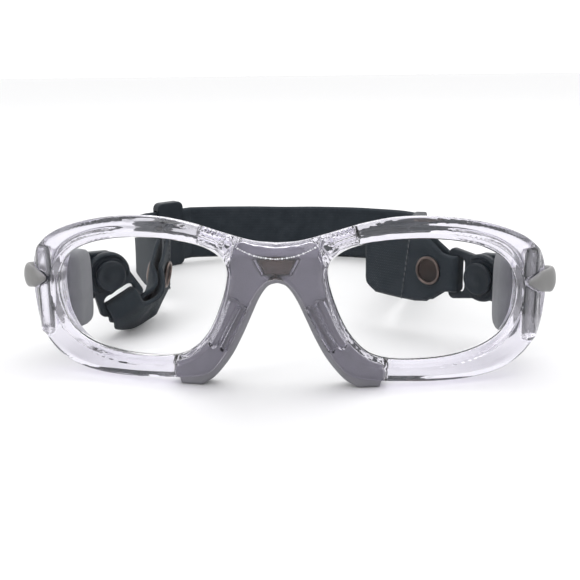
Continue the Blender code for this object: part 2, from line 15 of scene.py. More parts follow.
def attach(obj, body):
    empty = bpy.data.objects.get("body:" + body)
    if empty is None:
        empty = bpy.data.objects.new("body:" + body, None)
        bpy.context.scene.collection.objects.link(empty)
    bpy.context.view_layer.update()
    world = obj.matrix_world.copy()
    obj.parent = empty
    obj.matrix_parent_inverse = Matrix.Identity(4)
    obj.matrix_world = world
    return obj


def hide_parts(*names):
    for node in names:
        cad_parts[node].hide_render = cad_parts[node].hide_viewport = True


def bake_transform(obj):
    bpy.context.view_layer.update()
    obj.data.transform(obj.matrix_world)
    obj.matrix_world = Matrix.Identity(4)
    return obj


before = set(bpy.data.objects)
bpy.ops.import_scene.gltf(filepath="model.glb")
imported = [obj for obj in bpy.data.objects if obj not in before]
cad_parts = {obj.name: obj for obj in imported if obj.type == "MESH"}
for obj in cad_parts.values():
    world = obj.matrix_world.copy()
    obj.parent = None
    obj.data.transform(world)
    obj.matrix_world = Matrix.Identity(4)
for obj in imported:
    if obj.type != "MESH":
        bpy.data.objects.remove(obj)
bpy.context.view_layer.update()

MM = 0.001
SHIFT = np.array([0.0, -87.2, 0.0])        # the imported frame's origin, from the bridge front

# ---- dimensions in millimetres: the CAD's, and those of the finer shapes ----
SIDES = ((1, "left"), (-1, "right"))      # the wearer's, as a sign of x and a name
WRAP_RADIUS = 150.0
RIM_DEPTH = 7.0
BRIDGE_WALL = 2.7
GAP = 0.32
LENS_THICKNESS = 2.0
LENS_SETBACK = 3.0
LENS_MIDDLE = (38.0, 23.6)
SADDLE_DEPTH = 6.0
ARM_THICKNESS = 3.0
PAD_THICKNESS = 4.8
CAP_THICKNESS = 2.2
PIVOT = Vector((57.0, 45.0, 21.0))
LINK_YAW = math.radians(40)
DROP = {1: 0.0, -1: math.radians(66)}
LINK_THICKNESS = 2.2
LINK_END_RADIUS = 7.2
LINK_LENGTH = 11.6
LINK_HALF_WIDTH = 7.9
SLOT_OPEN_FROM = 5.7
SLOT_VISIBLE_HALF = 5.4    # the webbing fills the slot's ends
SLOT_FAR = 9.4
RIVET_RADIUS = 1.6
BOSS_RADIUS = 4.75
WEBBING_WIDTH = 22.0
WEBBING_AT_BAR = 11.4
WEBBING_THICKNESS = 1.3
SNAP_ALONG = 17.9
SNAP_RADIUS = 4.5
LEG_OFFSET = 1.5
STITCH_ALONG = 31.0
TAB_END_ALONG = 44.0
SEAM_STITCHES = 12
SEAM_REACH = 0.93          # of half the strip's width
SLIDER_HEIGHT = 27.0
SLIDER_LENGTH = 12.5
SLIDER_WALL = 1.3

APERTURE = [(13.1, 30.5), (14.2, 35.1), (19.5, 38.4), (29, 39.9), (41, 39.8), (52, 37.6),
            (59.2, 33.5), (62.8, 27.3), (62.5, 19.2), (58, 12.1), (48, 8.1), (34, 7.3),
            (24.5, 9.2), (19, 14.4), (15.2, 22.2)]
SILHOUETTE = [(0, 40), (6, 40.5), (13.5, 42.4), (22, 44.8), (31, 46.2), (41, 46.0), (52, 44.2),
              (61, 41.2), (67, 37.6), (70.3, 33), (71.2, 27), (71.2, 20.5), (69.8, 13), (66.5, 7.5),
              (61, 3.6), (53, 1.6), (43, 1.2), (33, 1.7), (24.5, 2.4), (18.8, 3.8), (14.6, 8.4),
              (11.2, 14.2), (8.3, 20.4), (5.6, 26), (2.6, 29.4), (0, 30.3)]
SADDLE_ARCH = [(0, 28.8), (2.4, 27.9), (4.9, 24.4), (7.3, 19.2), (10, 13.2), (13, 7.8), (17.4, 2.4),
               (21, 0)]
SADDLE_SKIRT = [(26.8, 0), (27.8, 5.0), (23.3, 7.4), (17.4, 13.1), (13.5, 21.5), (11.4, 30.2),
                (11.9, 34.8), (11.0, 37.2), (10.0, 39.0), (6, 38.4), (0, 37.8)]
NOSE_SLOTS = [((11.4, 23.4), (17.0, 12.6), 1.15), ((8.9, 22.0), (14.4, 11.4), 0.8)]
BROW_POCKET = [(11.6, 38.4), (11.4, 40.6), (20.2, 43.7), (20.6, 40.6), (15.2, 38.9), (12.8, 36.6)]
BROW_RIBS = [((13.2, 40.7), (19.9, 42.8)), ((13.8, 39.3), (19.8, 41.4))]
BRIDGE_WINDOW = [(-6.3, 35.4), (6.3, 35.4), (3.9, 30.9), (-3.9, 30.9)]
# outline of the dark piece that paints the shade seen through the bridge window
BRIDGE_PAINTED_SHADE = [(-5.2, 35.2), (5.2, 35.2), (3.1, 31.1), (-3.1, 31.1)]
BRIDGE_BAND = 4.2          # height of the sloping band along the top of the bridge
BAND_TAPER = 2.4           # and how much lower it is at the ends
RING_WIDTH = 1.5           # raised ring beside each opening
SLOT_LIP = 0.4             # raised edge round each nose slot
RING_STEP = 0.8
GROOVE_INSET = 3.5         # fine groove along the lower rim, from its outer edge
GROOVE_DEPTH = 0.9
LEDGE_DEPTH = 0.95         # the ledge round the bead, cut back from the front
LEDGE_WIDTH = 2.5
RIM_ROUNDING = 1.6
TEMPLE_FACETS = [(9.5, 22.4), (31.2, 37.0)]     # panels in the outer edge, below and above the tips
FACET_DEPTH = 1.1          # of those panels
DRAFT = 0.22               # the rim's outside closes in as it goes back
SINK = 0.3                 # and its openings drop as they go back
WALL_THICKNESS = 2.2       # the wall behind the lens
TEMPLE_WALL = 4.2          # how much deeper it is at the temples
WALL_LEAN = 0.22           # it leans towards the nose as it goes back
WALL_STEPS = [(5.2, 0), (5.8, 0.35), (7.4, 0.4), (7.9, 0.75), (9.2, 0.8), (9.7, 1.15)]  # depth, widening
FLARE = 2.3                # the opening's bevel at the front, and how fast it closes
FLARE_SLOPE = 0.80
FLARE_SCALE = 0.78         # which keeps that bevel's field near a true distance
FRAME_SLOT_DEPTH = 2.3     # nose slots in the clear leg and in the rubber behind it
SADDLE_SLOT_DEPTH = 1.3
POCKET_FLOOR = 2.2         # plastic left in front of a brow pocket
RIB_HALF_WIDTH = 0.34
BRIDGE_SLIT = [(11.3, 42.5), (10.9, 39.0), (11.3, 36.6), (12.3, 34.4)]
SLIT_HALF_WIDTH = 0.42
SLIT_FLOOR = 1.5
BEAD_SPACING = 0.6
BEADS_EACH_SIDE = 18
ARM_PATH = [(67.2, 17.0, 23.0), (66.4, 24, 22.5), (65.9, 32, 21.8), (65.7, 38.5, 21.3)]
ARM_HEIGHTS = [24, 23, 20, 16, 14.4, 14.0, 13.2, 8.0]
LUG_ALONG = (-7.4, -3.0, 1.5, 5.2)
PAD_PATH = [(62.1, 25.4, 20.9), (61.8, 28.5, 20.7), (61.45, 32, 20.4), (60.95, 37.2, 20.0)]
PAD_HEIGHTS = [21, 23, 23, 21]
CAP_PATH = [(65.9, 14.3, 26.8), (69.6, 16.8, 26.8), (72.6, 20.2, 26.6), (71.8, 25.5, 26.2),
            (69.2, 37, 25.2)]
CAP_HEIGHTS = [1.2, 5.8, 7.0, 6.2, 3.2]
CAP_SWELL = 0.5            # the cap is this much thicker than the CAD's
SLEEVE_THICKNESS = 0.16
LEFT_STRETCH = ((39.4, 114, 12.6), (44.2, 138, 12.6))
RIGHT_STRETCH = ((-54.0, 161.8, 12.6), (-69.8, 145.2, 12.6))
LEFT_BAND_START = [(31.0, 69.0, 20.6), (31.2, 76, 19.6), (33.2, 87, 17.2), (36.3, 101, 14.0)]
BACK_BAND = [(43.4, 148, 12.2), (37.5, 159, 11.6), (27, 167, 11.2), (14, 171.6, 11.1),
             (0, 173.4, 11.1), (-16, 173, 11.1), (-32, 170.2, 11.7)]
RIGHT_BAND_END = [(-71.6, 138.5, 12.4), (-68.8, 127, 12.2), (-62.6, 112.5, 12.4), (-55.6, 98, 14.0),
                  (-49.4, 88, 17.6)]
RIGHT_TAB = [(-51.9, 50.9, 7.9), (-49.4, 57, 8.0), (-47.9, 64.5, 11.6), (-47.3, 72, 15.4),
             (-46.8, 79, 18.7)]
RIGHT_TAB_TILT = [(0.74, 0.36, 0.56), (0.66, 0.0, 0.75), (0.22, -0.3, 0.93), (0.16, -0.3, 0.94),
                  (0.12, -0.3, 0.95)]
RIGHT_TAB_WIDTHS = [15, 18.5, 21, 22, 22]


# ---- curves ----
def smooth(points, steps, closed=False):
    """A smooth curve through the points, with this many steps between neighbours."""
    knots = [Vector(p) for p in points]
    count = len(knots)
    out = []
    for i in range(count if closed else count - 1):
        a, b = knots[i], knots[(i + 1) % count]
        before = knots[i - 1] if closed or i > 0 else a
        after = knots[(i + 2) % count] if closed or i + 2 < count else b
        chord = (b - a).length
        lead = (b - before).normalized() * chord / 3
        trail = (after - a).normalized() * chord / 3
        out += geometry.interpolate_bezier(a.to_3d(), (a + lead).to_3d(), (b - trail).to_3d(),
                                           b.to_3d(), steps + 1)[:-1]
    if not closed:
        out.append(knots[-1].to_3d())
    return out


def mirrored(points, side):
    return [(side * p[0],) + tuple(p[1:]) for p in points]


def straight(start, end):
    return [Vector(start).lerp(Vector(end), f) for f in (0, 0.06, 0.94, 1)]


def sag(x):
    return WRAP_RADIUS - np.sqrt(WRAP_RADIUS ** 2 - np.minimum(x * x, 100.0 ** 2))


# ---- signed distances ----
def soft_min(a, b, k):
    h = np.clip(0.5 + 0.5 * (b - a) / k, 0, 1)
    return b * (1 - h) + a * h - k * h * (1 - h)


def soft_max(a, b, k):
    return -soft_min(-a, -b, k)


def rounded(a, b, radius):
    """Where a and b are both negative, with the edge between them rounded."""
    p, q = a + radius, b + radius
    return np.minimum(np.maximum(p, q), 0) + np.hypot(np.maximum(p, 0), np.maximum(q, 0)) - radius


def segment(px, py, a, b):
    """Distance from points to a segment, and where on it from 0 to 1."""
    ex, ey = b[0] - a[0], b[1] - a[1]
    t = np.clip(((px - a[0]) * ex + (py - a[1]) * ey) / (ex * ex + ey * ey), 0, 1)
    return np.hypot(px - a[0] - t * ex, py - a[1] - t * ey), t


def polygon(px, py, loop):
    """Signed distance to a closed plane loop, negative inside."""
    best = np.full(px.shape, 1e9)
    inside = np.zeros(px.shape, bool)
    for a, b in zip(loop, loop[1:] + loop[:1]):
        best = np.minimum(best, segment(px, py, a, b)[0])
        if a[1] != b[1]:
            crossing = a[0] + (py - a[1]) * (b[0] - a[0]) / (b[1] - a[1])
            inside ^= ((a[1] > py) != (b[1] > py)) & (px < crossing)
    return np.where(inside, -best, best)


def along_path(px, py, path):
    """Distance to a plane path and the place on it, counted in its points."""
    best = np.full(px.shape, 1e9)
    place = np.zeros(px.shape)
    for i, (a, b) in enumerate(zip(path, path[1:])):
        away, t = segment(px, py, a, b)
        nearer = away < best
        best = np.where(nearer, away, best)
        place = np.where(nearer, i + t, place)
    return best, place


# ---- a mesh round a field ----
def sample(field, at):
    """The field between its grid points, and its slope."""
    low = np.clip(np.floor(at).astype(int), 0, np.array(field.shape) - 2)
    f = at - low
    c = {(i, j, k): field[low[:, 0] + i, low[:, 1] + j, low[:, 2] + k]
         for i in (0, 1) for j in (0, 1) for k in (0, 1)}

    def mix(axis, values, t):
        return {key: values[key[:axis] + (0,) + key[axis:]] * (1 - t)
                + values[key[:axis] + (1,) + key[axis:]] * t
                for key in {k[:axis] + k[axis + 1:] for k in values}}

    def slope(axis, values):
        return {key: values[key[:axis] + (1,) + key[axis:]] - values[key[:axis] + (0,) + key[axis:]]
                for key in {k[:axis] + k[axis + 1:] for k in values}}

    value = mix(0, mix(1, mix(2, c, f[:, 2]), f[:, 1]), f[:, 0])[()]
    dx = mix(0, mix(1, slope(0, c), f[:, 2]), f[:, 1])[()]
    dy = mix(0, mix(1, slope(1, c), f[:, 2]), f[:, 0])[()]
    dz = mix(0, mix(1, slope(2, c), f[:, 1]), f[:, 0])[()]
    return value, np.stack([dx, dy, dz], 1)


def nets(field):
    """Vertices, in grid steps, outward normals and four-sided faces where the field is zero."""
    inside = field < 0
    shape = np.array(field.shape)
    corners = [(i, j, k) for i in (0, 1) for j in (0, 1) for k in (0, 1)]

    def part(values, c):
        return values[tuple(slice(o, n - 1 + o) for o, n in zip(c, shape))]

    count = sum(part(inside, c).astype(np.int8) for c in corners)
    active = (count > 0) & (count < 8)
    cells = np.argwhere(active)
    ids = np.full(active.shape, -1, np.int64)
    ids[active] = np.arange(len(cells))
    total = np.zeros((len(cells), 3))
    hits = np.zeros(len(cells))
    for a in corners:
        for axis in range(3):
            if a[axis]:
                continue
            b = tuple(v + (i == axis) for i, v in enumerate(a))
            fa = field[tuple((cells + a).T)]
            fb = field[tuple((cells + b).T)]
            cross = (fa < 0) != (fb < 0)
            t = np.where(cross, fa / np.where(cross, fa - fb, 1), 0)
            point = np.array(a, float)[None] + np.eye(3)[axis][None] * t[:, None]
            total += point * cross[:, None]
            hits += cross
    verts = cells + total / hits[:, None]
    middle = cells + 0.5
    for _ in range(3):
        value, grad = sample(field, verts)
        step = value / np.maximum((grad ** 2).sum(1), 1e-6)
        verts = np.clip(verts - np.clip(grad * step[:, None], -0.4, 0.4), middle - 0.75, middle + 0.75)
    faces = []
    for axis in range(3):
        u, v = (axis + 1) % 3, (axis + 2) % 3
        lower = [slice(1, -1)] * 3
        upper = [slice(1, -1)] * 3
        lower[axis], upper[axis] = slice(0, -1), slice(1, None)
        one, two = inside[tuple(lower)], inside[tuple(upper)]
        at = np.argwhere(one != two)
        outwards = one[tuple(at.T)]
        node = at.copy()
        node[:, u] += 1
        node[:, v] += 1
        quad = []
        for du, dv in ((-1, -1), (0, -1), (0, 0), (-1, 0)):
            cell = node.copy()
            cell[:, u] += du
            cell[:, v] += dv
            quad.append(ids[tuple(cell.T)])
        quad = np.stack(quad, 1)
        faces.append(np.where(outwards[:, None], quad, quad[:, ::-1]))
    return verts, np.concatenate(faces)


def mesh_of(name, verts, faces, normals=None):
    """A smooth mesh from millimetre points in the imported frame's axes."""
    mesh = bpy.data.meshes.new(name)
    mesh.from_pydata((np.asarray(verts, float) * MM).tolist(), [], [list(map(int, f)) for f in faces])
    mesh.validate()
    mesh.shade_smooth()
    if normals is not None and len(normals) == len(mesh.vertices):
        mesh.normals_split_custom_set_from_vertices(normals.tolist())
    return mesh


def between(rows, ring, first=0):
    """Four-sided faces between neighbouring closed rows of ring points, from point first on."""
    faces = []
    for a in range(first, first + (rows - 1) * ring, ring):
        for k in range(ring):
            m = (k + 1) % ring
            faces.append((a + k, a + m, a + ring + m, a + ring + k))
    return faces


def outwards(mesh, weld=False):
    """Faces turned outwards, after merging the points that a turned piece has on its axis."""
    bm = bmesh.new()
    bm.from_mesh(mesh)
    if weld:
        bmesh.ops.remove_doubles(bm, verts=bm.verts, dist=1e-6)
        bmesh.ops.dissolve_degenerate(bm, edges=bm.edges, dist=1e-7)
    bmesh.ops.recalc_face_normals(bm, faces=bm.faces)
    bm.to_mesh(mesh)
    bm.free()


def add(name, mesh, look, body="goggles", slot=None, replaces=(), ride=True):
    made = bpy.data.objects.new(name, mesh)
    bpy.context.scene.collection.objects.link(made)
    mesh.materials.clear()
    mesh.materials.append(look)
    if replaces:
        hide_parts(*replaces)
    if ride:
        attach(made, body)
    return made


def carve(name, function, low, high, cell, place, look, **rest):
    """A piece of its own axes, from a signed distance function of x, y, z in millimetres."""
    axes = [np.arange(a - cell * 1.5, b + cell * 2.5, cell) for a, b in zip(low, high)]
    grid = np.meshgrid(*axes, indexing="ij")
    field = function(*grid)
    verts, faces = nets(field)
    grad = sample(field, verts)[1]
    grad /= np.maximum(np.linalg.norm(grad, axis=1), 1e-9)[:, None]
    verts = np.array([a[0] for a in axes]) + verts * cell
    turn = np.array(place.to_3x3())
    verts = verts @ turn.T + np.array(place.translation) + SHIFT
    return add(name, mesh_of(name, verts, faces, grad @ turn.T), look, **rest)


# ---- materials ----
class Look:
    """A small helper round one material's nodes."""

    def __init__(self, name):
        self.material = bpy.data.materials.new(name)
        self.material.use_nodes = True
        self.tree = self.material.node_tree
        self.shader = self.tree.nodes["Principled BSDF"]
        self.output = self.tree.nodes["Material Output"]
        self.coordinates = self.node("ShaderNodeTexCoord").outputs["Object"]

    def node(self, kind, **settings):
        made = self.tree.nodes.new(kind)
        for key, value in settings.items():
            setattr(made, key, value)
        return made

    def wire(self, source, target):
        self.tree.links.new(source, target)

    def set(self, **values):
        for key, value in values.items():
            self.shader.inputs[key.replace("_", " ")].default_value = value
        return self

    def noise(self, scale, detail=2.0, roughness=0.5, stretch=None, coordinates=None):
        made = self.node("ShaderNodeTexNoise")
        made.inputs["Scale"].default_value = scale
        made.inputs["Detail"].default_value = detail
        made.inputs["Roughness"].default_value = roughness
        source = coordinates or self.coordinates
        if stretch:
            squeeze = self.node("ShaderNodeVectorMath", operation="MULTIPLY")
            squeeze.inputs[1].default_value = stretch
            self.wire(source, squeeze.inputs[0])
            source = squeeze.outputs[0]
        self.wire(source, made.inputs["Vector"])
        return made.outputs["Fac"]

    def range(self, value, low, high, from_low=0.3, from_high=0.7):
        made = self.node("ShaderNodeMapRange")
        for key, number in zip(("From Min", "From Max", "To Min", "To Max"),
                               (from_low, from_high, low, high)):
            made.inputs[key].default_value = number
        self.wire(value, made.inputs["Value"])
        return made.outputs["Result"]

    def math(self, operation, a, b=0.0):
        made = self.node("ShaderNodeMath", operation=operation)
        for socket, value in zip(made.inputs, (a, b)):
            if isinstance(value, (int, float)):
                socket.default_value = value
            else:
                self.wire(value, socket)
        return made.outputs[0]

    def mix(self, factor, first, second):
        made = self.node("ShaderNodeMix", data_type="RGBA")
        self.wire(factor, made.inputs["Factor"])
        for socket, value in ((made.inputs[6], first), (made.inputs[7], second)):
            if isinstance(value, tuple):
                socket.default_value = (*value, 1)
            else:
                self.wire(value, socket)
        return made.outputs[2]

    def paint(self, colour):
        self.wire(colour, self.shader.inputs["Base Color"])

    def rough(self, value):
        self.wire(value, self.shader.inputs["Roughness"])

    def bump(self, height, distance, strength=1.0):
        made = self.node("ShaderNodeBump")
        made.inputs["Distance"].default_value = distance
        made.inputs["Strength"].default_value = strength
        self.wire(height, made.inputs["Height"])
        self.wire(made.outputs["Normal"], self.shader.inputs["Normal"])


def moulded(name, dark, light, rough, spread, grain, bump, **settings):
    """Moulded plastic or rubber: cloudy colour, uneven gloss and a fine grain."""
    look = Look(name).set(**settings)
    cloud = look.noise(90, 3)
    fine = look.noise(grain, 3, 0.6)
    look.paint(look.mix(look.range(cloud, 0, 1), dark, light))
    look.rough(look.range(look.noise(420, 3), rough - spread, rough + spread))
    look.bump(fine, bump)
    return look.material


def clear(name, tint, rough, spread, shadow, ripple, ior, haze=0.0):
    """Clear plastic: glass to the eye, a light tint to shadow rays; hazier on the side arms."""
    look = Look(name).set(Transmission_Weight=1.0, IOR=ior)
    look.shader.inputs["Base Color"].default_value = (*tint, 1)
    even = look.range(look.noise(160, 2), rough, rough + spread)
    if haze:
        apart = look.node("ShaderNodeSeparateXYZ")
        look.wire(look.coordinates, apart.inputs[0])
        outer = look.range(look.math("ABSOLUTE", apart.outputs["X"]), 0, haze * 0.4, 0.058, 0.066)
        rear = look.range(apart.outputs["Y"], 0, haze, -0.070, -0.062)
        even = look.math("ADD", even, look.math("MAXIMUM", outer, rear))
    look.rough(even)
    look.bump(look.noise(130, 2), ripple)
    see_through = look.node("ShaderNodeBsdfTransparent")
    see_through.inputs["Color"].default_value = (*shadow, 1)
    path = look.node("ShaderNodeLightPath")
    either = look.node("ShaderNodeMixShader")
    look.wire(path.outputs["Is Shadow Ray"], either.inputs["Fac"])
    look.wire(look.shader.outputs[0], either.inputs[1])
    look.wire(see_through.outputs[0], either.inputs[2])
    look.wire(either.outputs[0], look.output.inputs["Surface"])
    return look.material


def woven(name, dark, light, warp, weft, dust):
    """Webbing: a weave from the strip's own millimetres, faded patches and specks of lint."""
    look = Look(name).set(Sheen_Weight=0.06, Sheen_Roughness=0.5, Specular_IOR_Level=0.15)
    cloth = look.node("ShaderNodeAttribute", attribute_name="cloth_mm")
    place = cloth.outputs["Vector"]
    apart = look.node("ShaderNodeSeparateXYZ")
    look.wire(place, apart.inputs[0])
    u, v = apart.outputs["X"], apart.outputs["Y"]
    wobble = look.range(look.noise(0.5, 2, coordinates=place), -0.08, 0.08)
    over = look.math("SINE", look.math("MULTIPLY", look.math("ADD", u, wobble), math.tau / warp))
    under = look.math("SINE", look.math("MULTIPLY", look.math("ADD", v, wobble), math.tau / weft))
    thread = look.math("MULTIPLY", over, under)
    rib = look.math("MULTIPLY", over, 0.35)
    height = look.math("ADD", look.math("MULTIPLY", thread, 0.65), rib)
    worn = look.noise(0.16, 4, 0.65, coordinates=place)
    shade = look.math("ADD", look.range(height, 0, 0.3, -1, 1), look.range(worn, 0, 0.55))
    colour = look.mix(shade, dark, light)
    specks = look.node("ShaderNodeTexVoronoi")
    specks.inputs["Scale"].default_value = 0.42
    look.wire(place, specks.inputs["Vector"])
    spot = look.range(specks.outputs["Distance"], 0.75, 0, dust * 0.5, dust)
    look.paint(look.mix(spot, colour, (0.42, 0.43, 0.45)))
    look.rough(look.range(height, 0.92, 0.72, -1, 1))
    look.bump(height, 0.00004, 0.8)
    return look.material


def metal(name, dark, light, rough):
    look = Look(name).set(Metallic=1.0)
    scratch = look.noise(260, 4, 0.6, stretch=(1, 6, 1))
    look.paint(look.mix(look.range(look.noise(300, 3), 0, 1), dark, light))
    look.rough(look.range(scratch, rough - 0.08, rough + 0.14))
    look.bump(scratch, 0.00003)
    return look.material


CLEAR = clear("clear_moulding", (0.84, 0.822, 0.895), 0.02, 0.05, (0.80, 0.78, 0.84), 0.000010, 1.52,
              haze=0.28)
LENS = clear("lens_polish", (0.997, 0.998, 1.0), 0.0, 0.006, (0.995, 0.995, 0.998), 0.000001, 1.08)
RUBBER = moulded("soft_rubber", (0.185, 0.183, 0.197), (0.250, 0.247, 0.266), 0.5, 0.08, 2600, 0.00006,
                 Specular_IOR_Level=0.3)
FOAM = moulded("pad_rubber", (0.165, 0.168, 0.180), (0.225, 0.229, 0.242), 0.65, 0.08, 1900, 0.0001,
               Specular_IOR_Level=0.25)
CAP_GREY = moulded("cap_plastic", (0.185, 0.183, 0.180), (0.235, 0.233, 0.230), 0.36, 0.06, 2200, 0.00004,
                   Specular_IOR_Level=0.4)
BLACK = moulded("black_moulding", (0.011, 0.015, 0.020), (0.021, 0.027, 0.034), 0.42, 0.10, 1700, 0.00007,
                Specular_IOR_Level=0.2)
# painted shade: near-black brown for the shade inside the press stud's recess
PAINTED_SHADE_WELL = moulded("stud_well_painted_shade", (0.012, 0.009, 0.009), (0.035, 0.022, 0.018), 0.45, 0.1, 900, 0.00005,
               Specular_IOR_Level=0.3)
# painted shade with a painted reflection: near black for the strap seen through the bridge window,
# orange-brown patches for an orange glint
PAINTED_SHADE_AND_GLINT = moulded("bridge_painted_shade_and_glint", (0.014, 0.012, 0.014), (0.070, 0.036, 0.022), 0.3, 0.1,
                      1500, 0.00005, Specular_IOR_Level=0.3)
# painted highlight: pale grey for the bridge window's slanted sides where they catch the light
PAINTED_HIGHLIGHT_EDGE = moulded("bridge_painted_highlight_edge", (0.32, 0.31, 0.34), (0.48, 0.47, 0.50), 0.3, 0.08, 1500,
                      0.00005, Specular_IOR_Level=0.4)
# painted highlight: near-white for the glints of the beaded line on the clear bridge
GLINT = moulded("bead_painted_glint", (0.72, 0.72, 0.75), (0.85, 0.85, 0.87), 0.18, 0.05, 3000, 0.00001)
WEBBING = woven("tab_weave", (0.014, 0.019, 0.024), (0.036, 0.044, 0.053), 0.9, 0.8, 0.05)
ELASTIC = woven("elastic_weave", (0.016, 0.021, 0.027), (0.038, 0.046, 0.055), 1.1, 0.9, 0.03)
THREAD = moulded("stitch_thread", (0.05, 0.055, 0.062), (0.12, 0.125, 0.135), 0.8, 0.08, 4000, 0.00005)
GUNMETAL = metal("gunmetal", (0.10, 0.080, 0.073), (0.22, 0.175, 0.158), 0.34)
STEEL = metal("rivet_steel", (0.38, 0.38, 0.40), (0.56, 0.56, 0.58), 0.32)


# ---- the link's own axes ----
def link_axes(side, drop=None):
    drop = DROP[side] if drop is None else drop
    level = Vector((-side * math.cos(LINK_YAW), math.sin(LINK_YAW), 0))
    face = Vector((-side * math.sin(LINK_YAW), -math.cos(LINK_YAW), 0))
    up = Vector((0, 0, 1))
    along = level * math.cos(drop) - up * math.sin(drop)
    across = level * math.sin(drop) + up * math.cos(drop)
    return along, across, face


def link_point(side, along, across, out):
    a, c, f = link_axes(side)
    return Vector((side * PIVOT.x, PIVOT.y, PIVOT.z)) + a * along + c * across + f * out


def link_place(side, along=0.0, drop=None):
    """Millimetre matrix at a point of the link, X along it and Z out of its face."""
    a, _, f = link_axes(side, drop)
    turn = Matrix((a, f.cross(a), f)).transposed().to_4x4()
    return Matrix.Translation(link_point(side, along, 0, 0)) @ turn


def snap_place(side):
    if side > 0:
        return link_place(1, SNAP_ALONG)
    run = (Vector(RIGHT_TAB[4]) - Vector(RIGHT_TAB[2])).normalized()
    face = run.cross(Vector(RIGHT_TAB_TILT[3]).normalized()).normalized()
    if face.x < 0:
        face = -face
    turn = Matrix((run, face.cross(run), face)).transposed().to_4x4()
    return Matrix.Translation(Vector(RIGHT_TAB[3])) @ turn


# ---- the clear frame ----
def lug_points():
    behind = -(LINK_THICKNESS / 2 + GAP + ARM_THICKNESS / 2)
    level, _, face = link_axes(1, 0.0)
    return [tuple(PIVOT + level * a + face * behind) for a in LUG_ALONG]


def ribbon_field(x, y, z, path, heights, thickness, radius, grow=0.0):
    """A standing strip, from its plan path, middle height and height at each knot."""
    steps = 4
    line = smooth(path, steps)
    tall = [p.x for p in smooth([(h, 0, 0) for h in heights], steps)]
    away, place = along_path(x, y, [(p.x, p.y) for p in line])
    count = np.arange(len(line))
    middle = np.interp(place, count, [p.z for p in line])
    half = np.interp(place, count, tall) / 2
    return rounded(away - thickness / 2 - grow, np.abs(z - middle) - half - grow, radius)


def half_grid(cell, reach, tall, deep):
    x = np.arange(cell / 2, reach, cell)
    z = np.arange(-1.5 * cell, tall, cell)
    d = np.arange(deep[0], deep[1], cell)
    return x, z, d


def wrapped(name, half, x, z, d, cell, look, **rest):
    """The two halves of a symmetric field in (x, z, depth), meshed and wrapped round the face."""
    field = np.concatenate([half[::-1], half])
    verts, faces = nets(field)
    grad = sample(field, verts)[1]
    low = np.array([-x[-1], z[0], d[0]])
    at = low + verts * cell
    across = at[:, 0]
    lean = across / np.sqrt(WRAP_RADIUS ** 2 - across ** 2)
    points = np.stack([across, at[:, 2] + sag(across), at[:, 1]], 1) + SHIFT
    normals = np.stack([grad[:, 0] - grad[:, 2] * lean, grad[:, 2], grad[:, 1]], 1)
    normals /= np.maximum(np.linalg.norm(normals, axis=1), 1e-9)[:, None]
    return add(name, mesh_of(name, points, faces[:, ::-1], normals), look, **rest)


def plan(loop, steps, closed):
    return [(p.x, p.y) for p in smooth(loop, steps, closed)]


def full_loop(half_points):
    return half_points + [(-x, z) for x, z in reversed(half_points[1:-1])]


def ease(t):
    t = np.clip(t, 0, 1)
    return t * t * (3 - 2 * t)


def saddle_outline():
    return full_loop(plan(SADDLE_ARCH, 5, False) + plan(SADDLE_SKIRT, 4, False))


def slid(flat, shift, cell):
    """A plane field read a little further along x and z."""
    for axis, distance in enumerate(shift):
        count = flat.shape[axis]
        at = np.clip(np.arange(count) + distance / cell, 0, count - 1)
        low = np.minimum(at.astype(int), count - 2)
        share = (at - low).reshape((-1, 1) if axis == 0 else (1, -1))
        flat = flat.take(low, axis) * (1 - share) + flat.take(low + 1, axis) * share
    return flat


def band_height(x):
    return BRIDGE_BAND - BAND_TAPER * np.minimum(np.abs(x) / 13, 1) ** 2


def brow_line(x):
    """Height of the frame's top edge."""
    return np.interp(x, *zip(*plan(SILHOUETTE[:10], 6, False)))


